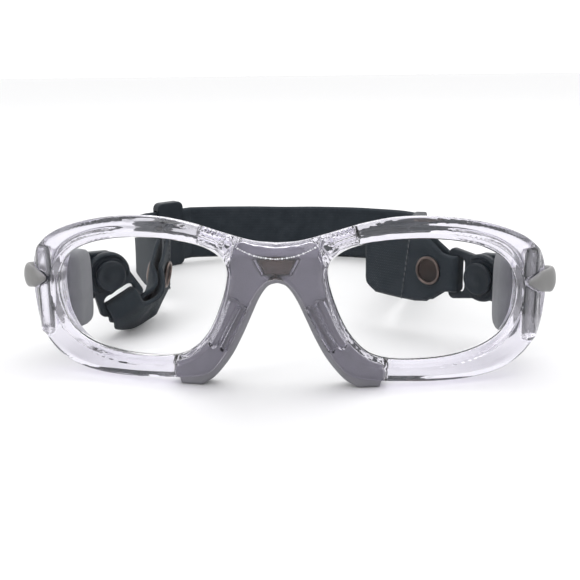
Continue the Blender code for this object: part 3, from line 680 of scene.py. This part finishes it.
def make_frame():
    cell = 0.42
    x, z, d = half_grid(cell, 76.0, 49.0, (-1.0, 42.5))
    flat_x, flat_z = np.meshgrid(x, z, indexing="ij")
    outline = polygon(flat_x, flat_z, full_loop(plan(SILHOUETTE, 6, False)))
    hole = polygon(flat_x, flat_z, plan(APERTURE, 6, True))
    saddle = polygon(flat_x, flat_z, saddle_outline())
    top = brow_line(x)[:, None]
    o, a, s = outline[:, :, None], hole[:, :, None], saddle[:, :, None]
    depth = d[None, None, :]

    # front surface: a ledge round the outer bead, panels at the temples, a ring beside each opening, a
    # groove in the lower rim, a sloping band along the top of the bridge and lips round the nose slots
    ledge = LEDGE_DEPTH * ease((outline + LEDGE_WIDTH) / 1.4) * ease((flat_x - 9) / 5)
    for low, high in TEMPLE_FACETS:
        panel = ease((outline + 3.6) / 0.8) * ease((flat_x - 63.5) / 1.0)
        ends = ease((flat_z - low) / 0.9) * ease((high - flat_z) / 0.9)
        ledge = np.maximum(ledge, FACET_DEPTH * panel * ends)
    ring = RING_STEP * ease((hole - RING_WIDTH) / 0.45) * ease((flat_x - 13.5) / 2)
    ledge = np.maximum(ledge, ring)
    groove = GROOVE_DEPTH * np.exp(-((outline + GROOVE_INSET) / 0.5) ** 2) * ease((flat_x - 20) / 4)
    ledge = np.maximum(ledge, groove * ease((24 - flat_z) / 4))
    slope = soft_max(flat_z - (top - band_height(x)[:, None]), 0 * flat_z, 0.3) * 0.42
    front = np.maximum(ledge, slope * ease((13.5 - flat_x) / 2))
    for start, end, radius in NOSE_SLOTS:
        lip = segment(flat_x, flat_z, start, end)[0] - radius - 0.4
        front -= SLOT_LIP * np.exp(-(lip / 0.32) ** 2)
    front = front[:, :, None]
    closing = DRAFT * np.maximum(depth - 1.5, 0) * ease((flat_z - 20) / 8)[:, :, None]
    body = rounded(o + closing, np.maximum(front - depth, depth - RIM_DEPTH), RIM_ROUNDING)

    # the thin wall behind the lens, deeper and leaning inwards towards the temple
    leaning = np.empty((len(x), len(z), len(d)))
    for k, at in enumerate(d):
        beyond = min(max(at - LENS_SETBACK - LENS_THICKNESS, 0), 9)
        moved = slid(hole, (WALL_LEAN * beyond, 0), cell)
        moved = hole + (moved - hole) * ease((37 - flat_z) / 9)
        sunk = slid(moved, (0, SINK * beyond), cell)
        leaning[:, :, k] = moved + (sunk - moved) * ease((24 - flat_z) / 9)
    back = (RIM_DEPTH + TEMPLE_WALL * ease((flat_x - 38) / 24))[:, :, None]
    half_wall = WALL_THICKNESS / 2
    wall = rounded(np.abs(leaning - half_wall) - half_wall, np.maximum(4.0 - depth, depth - back), 0.7)
    body = soft_min(body, wall, 1.2)
    cone = (a - (FLARE - FLARE_SLOPE * depth)) * FLARE_SCALE
    steps = np.interp(d, *zip(*WALL_STEPS))
    behind = np.maximum(leaning - steps[None, None, :], 5.0 - depth)
    opening = soft_min(soft_min(np.maximum(a, depth - 5.4), cone, 0.3), behind, 0.2)
    body = soft_max(body, -opening, 0.45)

    # the arms, in real depth
    plan_x = x[:, None]
    plan_y = d[None, :] + sag(plan_x)
    arm_path = ARM_PATH + lug_points()
    wide_x = np.repeat(plan_x, len(d), 1)
    arm = ribbon_field(wide_x[:, None, :], plan_y[:, None, :], z[None, :, None], arm_path,
                       ARM_HEIGHTS, ARM_THICKNESS, 0.8)
    body = soft_min(body, arm, 2.2)
    cap = ribbon_field(wide_x[:, None, :], plan_y[:, None, :], z[None, :, None], CAP_PATH,
                       CAP_HEIGHTS, CAP_THICKNESS, 0.9, grow=GAP + 0.1)
    body = soft_max(body, -cap, 0.25)

    # room for the nose saddle, slots in the nose legs, ribbed pockets in the brow, a slit beside the bridge
    body = soft_max(body, -np.maximum(s - GAP, BRIDGE_WALL - depth), 0.3)
    for start, end, radius in NOSE_SLOTS:
        slot = (segment(flat_x, flat_z, start, end)[0] - radius)[:, :, None]
        body = soft_max(body, -np.maximum(slot, depth - FRAME_SLOT_DEPTH), 0.12)
    pocket = polygon(flat_x, flat_z, BROW_POCKET)
    for start, end in BROW_RIBS:
        pocket = np.maximum(pocket, RIB_HALF_WIDTH - segment(flat_x, flat_z, start, end)[0])
    body = soft_max(body, -np.maximum(pocket[:, :, None], POCKET_FLOOR - depth), 0.2)
    for start, end in zip(BRIDGE_SLIT, BRIDGE_SLIT[1:]):
        slit = (segment(flat_x, flat_z, start, end)[0] - SLIT_HALF_WIDTH)[:, :, None]
        body = soft_max(body, -np.maximum(slit, depth - SLIT_FLOOR), 0.2)

    # bore for the link rivet
    level = link_axes(1, 0.0)[0]
    px = wide_x[:, None, :] - PIVOT.x
    py = plan_y[:, None, :] - PIVOT.y
    pz = (z - PIVOT.z)[None, :, None]
    bore = np.hypot(px * level.x + py * level.y, pz) - RIVET_RADIUS - GAP
    body = soft_max(body, -bore, 0.2)
    wrapped("clear_frame", body.astype(np.float32), x, z, d, cell, CLEAR, slot="clear_plastic",
            replaces=("front_frame",))


def make_beads():
    """The fine beaded line along the lower edge of the bridge's band, near-white as a painted glint."""
    bm = bmesh.new()
    for k in range(-BEADS_EACH_SIDE, BEADS_EACH_SIDE + 1):
        x = k * BEAD_SPACING
        z = brow_line(abs(x)) - band_height(x) + 0.1
        size = 0.2 + 0.07 * math.sin(k * 2.7)
        at = Matrix.Translation(Vector((x, sag(x) - 0.02, z)) + Vector(SHIFT))
        flatter = Matrix.Diagonal((1.3, 0.7, 1, 1))
        bmesh.ops.create_icosphere(bm, subdivisions=2, radius=size, matrix=at @ flatter)
    bmesh.ops.scale(bm, vec=(MM, MM, MM), verts=bm.verts)
    mesh = bpy.data.meshes.new("bridge_beads")
    bm.to_mesh(mesh)
    bm.free()
    mesh.shade_smooth()
    add("bridge_beads", mesh, GLINT, slot="clear_plastic")


def make_saddle():
    cell = 0.5
    front = BRIDGE_WALL + GAP
    x, z, d = half_grid(cell, 30.5, 42.5, (front - 1.0, front + SADDLE_DEPTH + 1.5))
    flat_x, flat_z = np.meshgrid(x, z, indexing="ij")
    s = polygon(flat_x, flat_z, saddle_outline())[:, :, None]
    depth = d[None, None, :]
    bevel = soft_max(flat_z - 36.2, 0 * flat_z, 0.4)[:, :, None] * 0.75
    body = rounded(s, np.maximum(front + bevel - depth, depth - front - SADDLE_DEPTH), 0.9)
    for start, end, radius in NOSE_SLOTS:
        slot = (segment(flat_x, flat_z, start, end)[0] - radius + 0.15)[:, :, None]
        body = soft_max(body, -np.maximum(slot, depth - front - SADDLE_SLOT_DEPTH), 0.3)
    window = polygon(flat_x, flat_z, BRIDGE_WINDOW)
    body = soft_max(body, -np.maximum(window[:, :, None], depth - front - 2.4), 0.4)
    dark = polygon(flat_x, flat_z, BRIDGE_PAINTED_SHADE)
    # painted highlight: pale strips along the window's slanted sides stand for those walls lit from above
    side = rounded(np.maximum(window + 0.1, 0.1 - dark)[:, :, None],
                   np.abs(depth - front - 0.9) - 0.6, 0.15)
    wrapped("bridge_painted_highlight_sides", side.astype(np.float32), x, z, d, cell, PAINTED_HIGHLIGHT_EDGE,
            slot="grey_rubber")
    # painted shade: a dark piece in the window stands for the dark strap seen through it, and its
    # orange-brown patches are a painted reflection
    painted_shade_field = rounded(dark[:, :, None], np.abs(depth - front - 1.2) - 0.35, 0.2)
    wrapped("bridge_painted_shade", painted_shade_field.astype(np.float32), x, z, d, cell, PAINTED_SHADE_AND_GLINT, slot="grey_rubber")
    return wrapped("nose_saddle", body.astype(np.float32), x, z, d, cell, RUBBER, slot="grey_rubber",
                   replaces=("nose_pad",))


def make_lenses():
    """Thin polished panes with a rounded edge, held in the rim's groove."""
    for side, name in SIDES:
        loop = smooth(mirrored(APERTURE, side), 8, closed=True)
        middle = np.array([side * LENS_MIDDLE[0], LENS_MIDDLE[1]])
        edge = np.array([(p.x, p.y) for p in loop])
        outward = edge - middle
        outward /= np.linalg.norm(outward, axis=1)[:, None]
        rim = edge - outward * 0.03
        rings = []
        half = LENS_THICKNESS / 2
        flats = [*np.linspace(0.06, 0.93, 9), 0.97, 0.985, 0.9895, 0.991]
        sides = [(f, -half) for f in flats]
        sides += [(0.998, -half * 0.75), (1.0, -half * 0.3), (1.0, half * 0.3), (0.998, half * 0.75)]
        sides += [(f, half) for f in reversed(flats)]
        for share, out in sides:
            flat = middle + (rim - middle) * share
            depth = LENS_SETBACK + half + out
            rings.append(np.stack([flat[:, 0], depth + sag(flat[:, 0]), flat[:, 1]], 1))
        count = len(edge)
        verts = list(np.concatenate(rings))
        tips = []
        for out in (-half, half):
            tips.append(len(verts))
            verts.append(np.array([middle[0], LENS_SETBACK + half + out + sag(middle[0]), middle[1]]))
        faces = between(len(rings), count)
        last = (len(rings) - 1) * count
        for i in range(count):
            j = (i + 1) % count
            faces.append((tips[0], j, i))
            faces.append((tips[1], last + i, last + j))
        mesh = mesh_of("lens_pane_" + name, np.array(verts) + SHIFT, faces)
        outwards(mesh)
        add("lens_pane_" + name, mesh, LENS, slot="lens", replaces=("lens_" + name,))


# ---- grey trim ----
def loft(name, path, heights, thickness, power, steps=8, ring=28):
    """A standing strip with a pillowed section that closes softly at both ends."""
    line = smooth(path, steps)
    tall = [p.x for p in smooth([(h, 0, 0) for h in heights], steps)]
    total = len(line) - 1
    rows = []
    for i, point in enumerate(line):
        ahead, back = line[min(i + 1, total)], line[max(i - 1, 0)]
        run = (ahead - back).normalized()
        out = run.cross(Vector((0, 0, 1))).normalized()
        to_end = min(i, total - i) / steps
        close = math.sqrt(max(1 - (1 - min(to_end * 1.6, 1)) ** 2, 0.02))
        row = []
        for k in range(ring):
            angle = math.tau * k / ring
            c, s = math.cos(angle), math.sin(angle)
            u = math.copysign(abs(c) ** power, c)
            v = math.copysign(abs(s) ** power, s)
            row.append(point + Vector((0, 0, 1)) * (v * tall[i] / 2 * (0.75 + 0.25 * close))
                       + out * (u * thickness / 2 * close))
        rows.append(row)
    verts = [tuple(p) for row in rows for p in row]
    faces = between(len(rows), ring)
    faces.append(tuple(range(ring - 1, -1, -1)))
    faces.append(tuple(range((len(rows) - 1) * ring, len(rows) * ring)))
    mesh = mesh_of(name, np.array(verts) + SHIFT, faces)
    outwards(mesh)
    return mesh


def make_trim():
    for side, name in SIDES:
        mesh = loft("side_cushion_" + name, mirrored(PAD_PATH, side), PAD_HEIGHTS, PAD_THICKNESS, 0.45)
        cushion = add("side_cushion_" + name, mesh, FOAM, slot="grey_rubber",
                      replaces=("side_pad_" + name,))
        mesh = loft("temple_tip_" + name, mirrored(CAP_PATH, side), CAP_HEIGHTS,
                    CAP_THICKNESS + CAP_SWELL, 1.0)
        add("temple_tip_" + name, mesh, CAP_GREY, slot="grey_plastic",
            replaces=("temple_cap_" + name,))


# ---- turned pieces and the links ----
def turned(name, profile, place, look, sides=56, **rest):
    """A closed (radius, height) profile, from the axis to the axis, swept round Z."""
    verts = []
    for r, h in profile:
        for k in range(sides):
            angle = math.tau * k / sides
            verts.append((r * math.cos(angle), r * math.sin(angle), h))
    turn = np.array(place.to_3x3())
    points = np.array(verts) @ turn.T + np.array(place.translation) + SHIFT
    mesh = mesh_of(name, points, between(len(profile), sides))
    outwards(mesh, weld=True)
    return add(name, mesh, look, **rest)


def arc(centre, radius, first, last, steps=5):
    """Points of a rounded corner of a turned profile, angles in degrees."""
    out = []
    for i in range(steps + 1):
        angle = math.radians(first + (last - first) * i / steps)
        out.append((centre[0] + radius * math.cos(angle), centre[1] + radius * math.sin(angle)))
    return out


def link_field(x, y, z):
    """Plate with a round end, a flared bar end, a slot for the webbing and a raised pivot pad."""
    loop = [(LINK_END_RADIUS * math.cos(math.radians(a)), LINK_END_RADIUS * math.sin(math.radians(a)))
            for a in np.linspace(68, 292, 40)]
    corner = 1.9
    for cx, cy, first in ((LINK_LENGTH - corner, -LINK_HALF_WIDTH + corner, -90),
                          (LINK_LENGTH - corner, LINK_HALF_WIDTH - corner, 0)):
        for k in range(7):
            angle = math.radians(first + 90 * k / 6)
            loop.append((cx + corner * math.cos(angle), cy + corner * math.sin(angle)))
    flat_x, flat_y = x[:, :, 0], y[:, :, 0]
    out = polygon(flat_x, flat_y, loop)[:, :, None]
    radius = (SLOT_FAR - SLOT_OPEN_FROM) / 2
    reach = SLOT_VISIBLE_HALF - radius
    middle = (SLOT_FAR + SLOT_OPEN_FROM) / 2
    slot = (segment(flat_x, flat_y, (middle, -reach), (middle, reach))[0] - radius)[:, :, None]
    relief = rounded(np.abs(flat_x - 6.6)[:, :, None] - 1.7 + 0 * z,
                     np.abs(flat_y)[:, :, None] - SLOT_VISIBLE_HALF + 0 * z, 0.5)
    slot = soft_min(slot, np.maximum(relief, z + 0.3), 0.2)
    bore = (np.hypot(flat_x, flat_y) - RIVET_RADIUS - GAP)[:, :, None]
    plate = rounded(out, np.abs(z) - LINK_THICKNESS / 2, 0.55)
    rim = rounded(np.abs(np.hypot(flat_x, flat_y) - 6.35)[:, :, None] - 0.35,
                  np.abs(z - 0.9) - 0.45, 0.2)
    rim = np.maximum(rim, flat_x[:, :, None] - 3.4)
    plate = soft_min(plate, rim, 0.3)
    return soft_max(soft_max(plate, -slot, 0.5), -bore, 0.15)


def sleeve_field(x, y, z):
    """A snug black cover over the end of the wearer's left arm, in the goggles' millimetres."""
    level, _, face = link_axes(1, 0.0)
    px, py = x - PIVOT.x, y - PIVOT.y
    along = px * level.x + py * level.y
    behind = px * face.x + py * face.y + LINK_THICKNESS / 2 + GAP + ARM_THICKNESS / 2
    tall = np.interp(along, [-9, 1.5, 5.5], [7.5, 7.0, 4.6])
    body = rounded(np.abs(along + 1.4) - 7.4, np.abs(behind) - ARM_THICKNESS / 2 - SLEEVE_THICKNESS, 0.5)
    return rounded(body, np.abs(z - PIVOT.z) - tall, 0.6)


def make_sleeves():
    low, high = (49.0, 36.0, 12.0), (68.0, 56.0, 30.0)
    for side, name in SIDES:
        def field(x, y, z):
            return sleeve_field(side * x, y, z)
        ends = (low, high) if side > 0 else ((-high[0],) + low[1:], (-low[0],) + high[1:])
        carve("arm_sleeve_" + name, field, *ends, 0.34, Matrix.Identity(4), BLACK,
              slot="black_plastic")


def make_links():
    for side, name in SIDES:
        body = "link_" + name
        carve("link_plate_" + name, link_field, (-7.4, -8.1, -1.2), (11.8, 8.1, 1.6), 0.26,
              link_place(side), BLACK, body=body, slot="black_plastic",
              replaces=("strap_link_" + name,))
        base = LINK_THICKNESS / 2 + GAP + 0.2 + GAP
        boss = [(0, base), (BOSS_RADIUS, base)]
        boss += arc((BOSS_RADIUS - 0.5, base + 0.7), 0.5, 0, 90)
        boss += [(3.9, base + 1.22), (3.4, base + 0.95), (1.8, base + 0.9), (1.4, base + 1.1),
                 (0, base + 1.15)]
        turned("link_boss_" + name, boss, link_place(side, drop=0.0), BLACK, slot="black_plastic",
               replaces=("rivet_cap_" + name,))
        far = LINK_THICKNESS / 2 + 2 * GAP + ARM_THICKNESS
        head = LINK_THICKNESS / 2 + 0.2
        pin = [(0, head), (RIVET_RADIUS, head), (RIVET_RADIUS, -far), (3.0, -far)]
        pin += [(3.0, -far - 0.3), (2.8, -far - 0.7), (2.2, -far - 1.0), (1.3, -far - 1.15),
                (0, -far - 1.2)]
        turned("link_pin_" + name, pin, link_place(side, drop=0.0), STEEL, slot="rivet_steel",
               replaces=("link_rivet_" + name,))


# ---- webbing ----
class Strip:
    """A woven strip: its middle line, its directions across, its widths and its thickness."""

    def __init__(self, path, tilts, widths, thickness, steps):
        self.line = smooth(path, steps)
        count = len(path)
        tilts = tilts if isinstance(tilts, list) else [tilts] * count
        widths = widths if isinstance(widths, list) else [widths] * count
        self.across = [t.normalized() for t in smooth(tilts, steps)]
        self.width = [p.x for p in smooth([(w, 0, 0) for w in widths], steps)]
        self.thickness = thickness
        self.run = []
        last = len(self.line) - 1
        for i in range(last + 1):
            self.run.append((self.line[min(i + 1, last)] - self.line[max(i - 1, 0)]).normalized())
        self.length = [0.0]
        for a, b in zip(self.line, self.line[1:]):
            self.length.append(self.length[-1] + (b - a).length)

    def at(self, share, u, out):
        """A point at a share of the length, u from -1 to 1 across, out of the surface."""
        where = share * self.length[-1]
        i = max(k for k in range(len(self.length) - 1) if self.length[k] <= where + 1e-9)
        t = (where - self.length[i]) / max(self.length[i + 1] - self.length[i], 1e-9)
        point = self.line[i].lerp(self.line[i + 1], t)
        across = self.across[i].lerp(self.across[i + 1], t).normalized()
        run = self.run[i].lerp(self.run[i + 1], t).normalized()
        width = self.width[i] * (1 - t) + self.width[i + 1] * t
        normal = run.cross(across).normalized()
        return point + across * (u * width / 2) + normal * out, run, across, normal

    def mesh(self, name, columns=23, life=0.12, ridge=0.1, corner=1.2):
        """Both faces with soft edges, low ridges by the selvedges, and rounded ends."""
        half = self.thickness / 2
        total = self.length[-1]
        rows = []
        cloth = []
        for i, point in enumerate(self.line):
            normal = self.run[i].cross(self.across[i]).normalized()
            away = min(self.length[i], total - self.length[i])
            cut = corner - math.sqrt(max(corner ** 2 - max(corner - away, 0) ** 2, 0))
            width = self.width[i] / 2 - cut
            thick = half * (0.55 + 0.45 * min(away / 0.5, 1))
            row, place = [], []
            for face in (1, -1):
                for k in range(columns):
                    u = face * (2 * k / (columns - 1) - 1)
                    edge = (1 - abs(u)) * width
                    swell = math.sqrt(max(1 - max(1 - edge / 0.55, 0) ** 2, 0.0))
                    lift = ridge * math.exp(-((edge - 1.5) / 0.5) ** 2)
                    wave = life * math.sin(self.length[i] * 0.31 + u * 1.3) * abs(u) ** 2
                    if k in (0, columns - 1) and face == -1:
                        continue
                    high = face * (thick * swell + lift * swell) + wave
                    row.append(point + self.across[i] * (u * width) + normal * high)
                    place.append((u * self.width[i] / 2, self.length[i], face * half))
            rows.append(row)
            cloth.append(place)
        ring = len(rows[0])
        verts = [tuple(p) for row in rows for p in row]
        faces = between(len(rows), ring)
        for start, flip in ((0, False), ((len(rows) - 1) * ring, True)):
            for k in range(columns - 1):
                low = start + k
                other = start + (ring - k) % ring
                other_next = start + ring - k - 1 if k < columns - 2 else start + columns - 1
                quad = list(dict.fromkeys((low, low + 1, other_next, other)))
                if len(quad) > 2:
                    faces.append(tuple(quad if flip else quad[::-1]))
        mesh = mesh_of(name, np.array(verts) + SHIFT, faces)
        outwards(mesh)
        attribute = mesh.attributes.new("cloth_mm", "FLOAT_VECTOR", "POINT")
        attribute.data.foreach_set("vector", np.array([p for row in cloth for p in row],
                                                      np.float32).ravel())
        return mesh


def bar_wrap(side):
    middle = (SLOT_FAR + LINK_LENGTH) / 2
    clear_of_bar = LINK_THICKNESS / 2 + GAP + WEBBING_THICKNESS / 2
    near = middle - (LINK_LENGTH - SLOT_FAR) / 2 - GAP - WEBBING_THICKNESS / 2
    turn = [(middle + 2.6, 0.93), (middle, 1.0), (near + 0.3, 0.84), (near, 0.0)]
    turn += [(along, -out) for along, out in reversed(turn[:-1])]
    return [link_point(side, along, 0, out * clear_of_bar) for along, out in turn]


def left_tab():
    leg = LEG_OFFSET
    inner = [link_point(1, a, 0, leg) for a in (TAB_END_ALONG, TAB_END_ALONG - 4, 30, 24, 19)]
    outer = [link_point(1, a, 0, -leg) for a in (19, 24, STITCH_ALONG)]
    wide, bar = WEBBING_WIDTH, WEBBING_AT_BAR
    widths = [wide - 5, wide - 0.5, wide, wide, wide - 1.5, bar + 0.8] + [bar] * 5 + [bar + 0.8]
    widths += [wide - 1.5, wide, wide]
    return Strip(inner + bar_wrap(1) + outer, (0, 0, 1), widths, WEBBING_THICKNESS, 7)


def right_tab():
    _, across, face = link_axes(-1)
    tilts = [Vector(t).normalized() for t in RIGHT_TAB_TILT]
    legs = []
    for shift in (LEG_OFFSET, -LEG_OFFSET):
        run = []
        for i, point in enumerate(RIGHT_TAB):
            ahead = Vector(RIGHT_TAB[min(i + 1, len(RIGHT_TAB) - 1)])
            back = Vector(RIGHT_TAB[max(i - 1, 0)])
            normal = tilts[i].cross((ahead - back).normalized()).normalized()
            run.append(Vector(point) + normal * shift * (-1 if normal.dot(face) < 0 else 1))
        legs.append(run)
    path = list(reversed(legs[0])) + bar_wrap(-1) + legs[1]
    widths = list(reversed(RIGHT_TAB_WIDTHS)) + [WEBBING_AT_BAR] * 7 + RIGHT_TAB_WIDTHS
    spread = list(reversed(tilts)) + [across] * 7 + tilts
    return Strip(path, spread, widths, WEBBING_THICKNESS, 7)


def head_band():
    start = [link_point(1, a, 0, -LEG_OFFSET) for a in (STITCH_ALONG + GAP, STITCH_ALONG + 1.6)]
    route = LEFT_BAND_START + straight(*LEFT_STRETCH) + BACK_BAND + straight(*RIGHT_STRETCH)
    path = start + [Vector(p) for p in route + RIGHT_BAND_END]
    end = Vector(RIGHT_TAB[-1])
    run = (end - Vector(RIGHT_TAB[-2])).normalized()
    path += [end + run * (GAP + 1.4), end + run * GAP]
    tilts = [Vector((0, 0, 1))] * (len(path) - 2) + [Vector(RIGHT_TAB_TILT[-1])] * 2
    return Strip(path, tilts, WEBBING_WIDTH, WEBBING_THICKNESS, 8)


def stitches(name, places, look, length=1.5, width=0.4):
    """Short raised threads at (point, direction, normal)."""
    verts, faces = [], []
    sides, rings = 8, (-1, -0.8, -0.4, 0, 0.4, 0.8, 1)
    for point, run, normal in places:
        side = run.cross(normal).normalized()
        first = len(verts)
        for t in rings:
            size = math.sqrt(max(1 - t * t, 0.03))
            middle = point + run * (t * length / 2) + normal * (0.12 * (1 - t * t))
            for k in range(sides):
                angle = math.tau * k / sides
                verts.append(tuple(middle + side * (math.cos(angle) * width / 2 * size)
                                   + normal * (math.sin(angle) * width / 2 * size)))
        faces += between(len(rings), sides, first)
        faces.append(tuple(first + k for k in reversed(range(sides))))
        last = first + (len(rings) - 1) * sides
        faces.append(tuple(last + k for k in range(sides)))
    mesh = mesh_of(name, np.array(verts) + SHIFT, faces)
    outwards(mesh)
    return add(name, mesh, look, slot="webbing", ride=False)


def seam(strip, shares, out):
    """Stitch places across a strip, from one share of its length to another."""
    u_low, u_high = -SEAM_REACH, SEAM_REACH
    places = []
    for k in range(SEAM_STITCHES):
        f = k / (SEAM_STITCHES - 1)
        share = shares[0] * (1 - f) + shares[1] * f
        point, _, across, normal = strip.at(share, u_low + (u_high - u_low) * f, out)
        places.append((point, across, normal * (1 if out > 0 else -1)))
    return places


def make_webbing():
    pieces = {}
    for side, name, strip in ((1, "left", left_tab()), (-1, "right", right_tab())):
        tab = add("tab_webbing_" + name, strip.mesh("tab_webbing_" + name), WEBBING, slot="webbing",
                  replaces=("strap_tab_" + name,), ride=False)
        total = strip.length[-1]
        surface = WEBBING_THICKNESS / 2 + 0.08
        to_seam = (TAB_END_ALONG - 27.0) / total if side > 0 else 3.0 / total
        slant = 1.5 / total
        ends = (to_seam - slant, to_seam + slant)
        places = seam(strip, ends, surface) + seam(strip, ends, -surface)
        pieces[name] = (tab, stitches("tab_stitches_" + name, places, THREAD), strip)
    return pieces


def make_studs(side, name):
    top = LEG_OFFSET + WEBBING_THICKNESS / 2
    lift = GAP
    ring = [(3.65, top), (3.7, top + 0.35)] + arc((SNAP_RADIUS - 0.42, top + 0.55), 0.4, 165, -20, 9)
    ring += [(SNAP_RADIUS - 0.1, top), (3.65, top)]
    stud = turned("stud_ring_" + name, [(r, h + lift) for r, h in ring], snap_place(side), GUNMETAL,
                  slot="gunmetal", replaces=("press_stud_" + name,), ride=False)
    # painted shade: the bowl inside the ring is coloured dark for the shade in the stud's recess
    bowl = [(0, top - 0.1), (3.9, top - 0.1), (3.9, top + 0.35), (3.4, top + 0.2), (2.6, top + 0.05),
            (1.5, top + 0.02), (1.1, top + 0.22), (0, top + 0.26)]
    shaded_well = turned("stud_well_painted_shade_" + name, [(r, h + lift) for r, h in bowl], snap_place(side), PAINTED_SHADE_WELL,
                  slot="gunmetal", ride=False)
    dome = [(0, -top), (SNAP_RADIUS - 0.3, -top), (SNAP_RADIUS, -top - 0.2),
            (SNAP_RADIUS - 0.3, -top - 0.75), (SNAP_RADIUS - 1.4, -top - 1.2),
            (SNAP_RADIUS - 3, -top - 1.45), (0, -top - 1.5)]
    cap = turned("stud_dome_" + name, [(r, h - lift) for r, h in dome], snap_place(side), GUNMETAL,
                 slot="gunmetal", replaces=("stud_cap_" + name,), ride=False)
    return stud, shaded_well, cap


def slider_field(x, y, z):
    """A flat slider: a rounded frame with a way for the strap and a bar left across its outer side."""
    tall, long = SLIDER_HEIGHT / 2, SLIDER_LENGTH / 2
    thick = (WEBBING_THICKNESS + 2 * GAP) / 2
    way_middle = 12.6 - SLIDER_HEIGHT / 2 - 0.05
    flat = rounded(np.abs(x) - long, np.abs(y) - tall, 2.6)
    body = rounded(flat, np.abs(z) - thick - SLIDER_WALL, 0.6)
    way = rounded(np.abs(y - way_middle) - WEBBING_WIDTH / 2 - GAP, np.abs(z) - thick, 0.3)
    window = rounded(np.abs(np.abs(x) - 0.46 * long) - long * 0.25,
                     np.abs(y - way_middle) - WEBBING_WIDTH / 2 + 0.2, 0.8)
    window = np.maximum(window, -z)
    return soft_max(soft_max(body, -way, 0.25), -window, 0.4)


def make_sliders():
    for name, stretch in (("left", LEFT_STRETCH), ("right", RIGHT_STRETCH)):
        start, end = (Vector(point) for point in stretch)
        run = (end - start).normalized()
        up = Vector((0, 0, 1))
        face = run.cross(up).normalized()
        middle = (start + end) / 2
        place = Matrix.Translation(Vector((middle.x, middle.y, SLIDER_HEIGHT / 2 + 0.05)))
        place = place @ Matrix((run, up, face)).transposed().to_4x4()
        carve("slider_frame_" + name, slider_field, (-6.3, -13.6, -2.3), (6.3, 13.6, 2.3), 0.34, place,
              BLACK, body="slider_" + name, slot="black_plastic", replaces=("slider_" + name,))


# ---- put it together ----
make_frame()
make_beads()
saddle = make_saddle()
make_lenses()
make_trim()
make_sleeves()
make_links()
make_sliders()

webbing = make_webbing()
band_strip = head_band()
band = add("head_band", band_strip.mesh("head_band", life=0.15), ELASTIC, slot="webbing",
           replaces=("head_strap",))


for side, name in SIDES:
    tab, seams, strip = webbing[name]
    studs = make_studs(side, name)
    for piece in (tab, seams, *studs):
        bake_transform(piece)


# ---- floor, light and camera ----
def make_floor():
    """A pale floor with painted light: its colour grows lighter far away, so that it meets the background
    without a line.
    """
    mesh = bpy.data.meshes.new("floor")
    half = 4.0
    corners = [(-half, -half, 0), (half, -half, 0), (half, half, 0), (-half, half, 0)]
    mesh.from_pydata(corners, [], [(0, 1, 2, 3)])
    floor = bpy.data.objects.new("floor", mesh)
    bpy.context.scene.collection.objects.link(floor)
    look = Look("pale_floor")
    away = look.node("ShaderNodeVectorMath", operation="LENGTH")
    look.wire(look.coordinates, away.inputs[0])
    near = look.mix(look.noise(3, 2), (0.70, 0.70, 0.705), (0.72, 0.72, 0.724))
    far = (0.88, 0.88, 0.884)
    # painted light: the colour rises from near to far in place of brighter light on the distant floor
    look.paint(look.mix(look.range(away.outputs["Value"], 0, 1, 0.15, 0.8), near, far))
    look.rough(look.range(look.noise(40, 2), 0.55, 0.75))
    mesh.materials.append(look.material)


def make_lights():
    world = bpy.data.worlds.new("studio")
    bpy.context.scene.world = world
    world.use_nodes = True
    tree = world.node_tree
    background = tree.nodes["Background"]
    where = tree.nodes.new("ShaderNodeTexCoord")
    lean = tree.nodes.new("ShaderNodeVectorMath")
    lean.operation = "DOT_PRODUCT"
    lean.inputs[1].default_value = (0.0, 0.72, 0.70)
    ramp = tree.nodes.new("ShaderNodeValToRGB")
    stretch = tree.nodes.new("ShaderNodeMapRange")
    stretch.inputs["From Min"].default_value = -1
    stretch.inputs["From Max"].default_value = 1
    tree.links.new(where.outputs["Generated"], lean.inputs[0])
    tree.links.new(lean.outputs["Value"], stretch.inputs["Value"])
    tree.links.new(stretch.outputs["Result"], ramp.inputs["Fac"])
    tree.links.new(ramp.outputs["Color"], background.inputs["Color"])
    stops = ramp.color_ramp.elements
    stops[0].position, stops[0].color = 0.22, (0.30, 0.30, 0.32, 1)
    stops[1].position, stops[1].color = 0.50, (1, 1, 1, 1)
    background.inputs["Strength"].default_value = 1.12

    for name, place, aim, size, power in (
            ("top_soft", (0.1, 0.25, 0.85), (0, 0, 0), 0.9, 5.0),
            ("front_soft", (-0.5, -0.75, 0.7), (0, 0, 0.02), 0.5, 1.6)):
        data = bpy.data.lights.new(name, "AREA")
        data.shape = "SQUARE"
        data.size = size
        data.energy = power
        lamp = bpy.data.objects.new(name, data)
        bpy.context.scene.collection.objects.link(lamp)
        lamp.location = place
        lamp.rotation_euler = (Vector(aim) - Vector(place)).to_track_quat("-Z", "Y").to_euler()


def make_camera():
    back = Vector((0.09116, -0.96601, 0.24192)).normalized()
    target = Vector((0.0037, -0.0872, 0.0279))
    right = (-back).cross(Vector((0, 0, 1))).normalized()
    up = right.cross(-back).normalized()
    roll = math.radians(-0.749)
    turned_right = right * math.cos(roll) + up * math.sin(roll)
    turned_up = up * math.cos(roll) - right * math.sin(roll)
    data = bpy.data.cameras.new("camera")
    data.sensor_width = 36.0
    data.lens = 58.27
    data.clip_start = 0.01
    camera = bpy.data.objects.new("camera", data)
    bpy.context.scene.collection.objects.link(camera)
    turn = Matrix((turned_right, turned_up, back)).transposed().to_4x4()
    camera.matrix_world = Matrix.Translation(target + back * 0.240) @ turn
    bpy.context.scene.camera = camera


make_floor()
make_lights()
make_camera()
bpy.context.scene.view_settings.view_transform = "Standard"
bpy.context.scene.view_settings.look = "None"

bpy.context.view_layer.update()
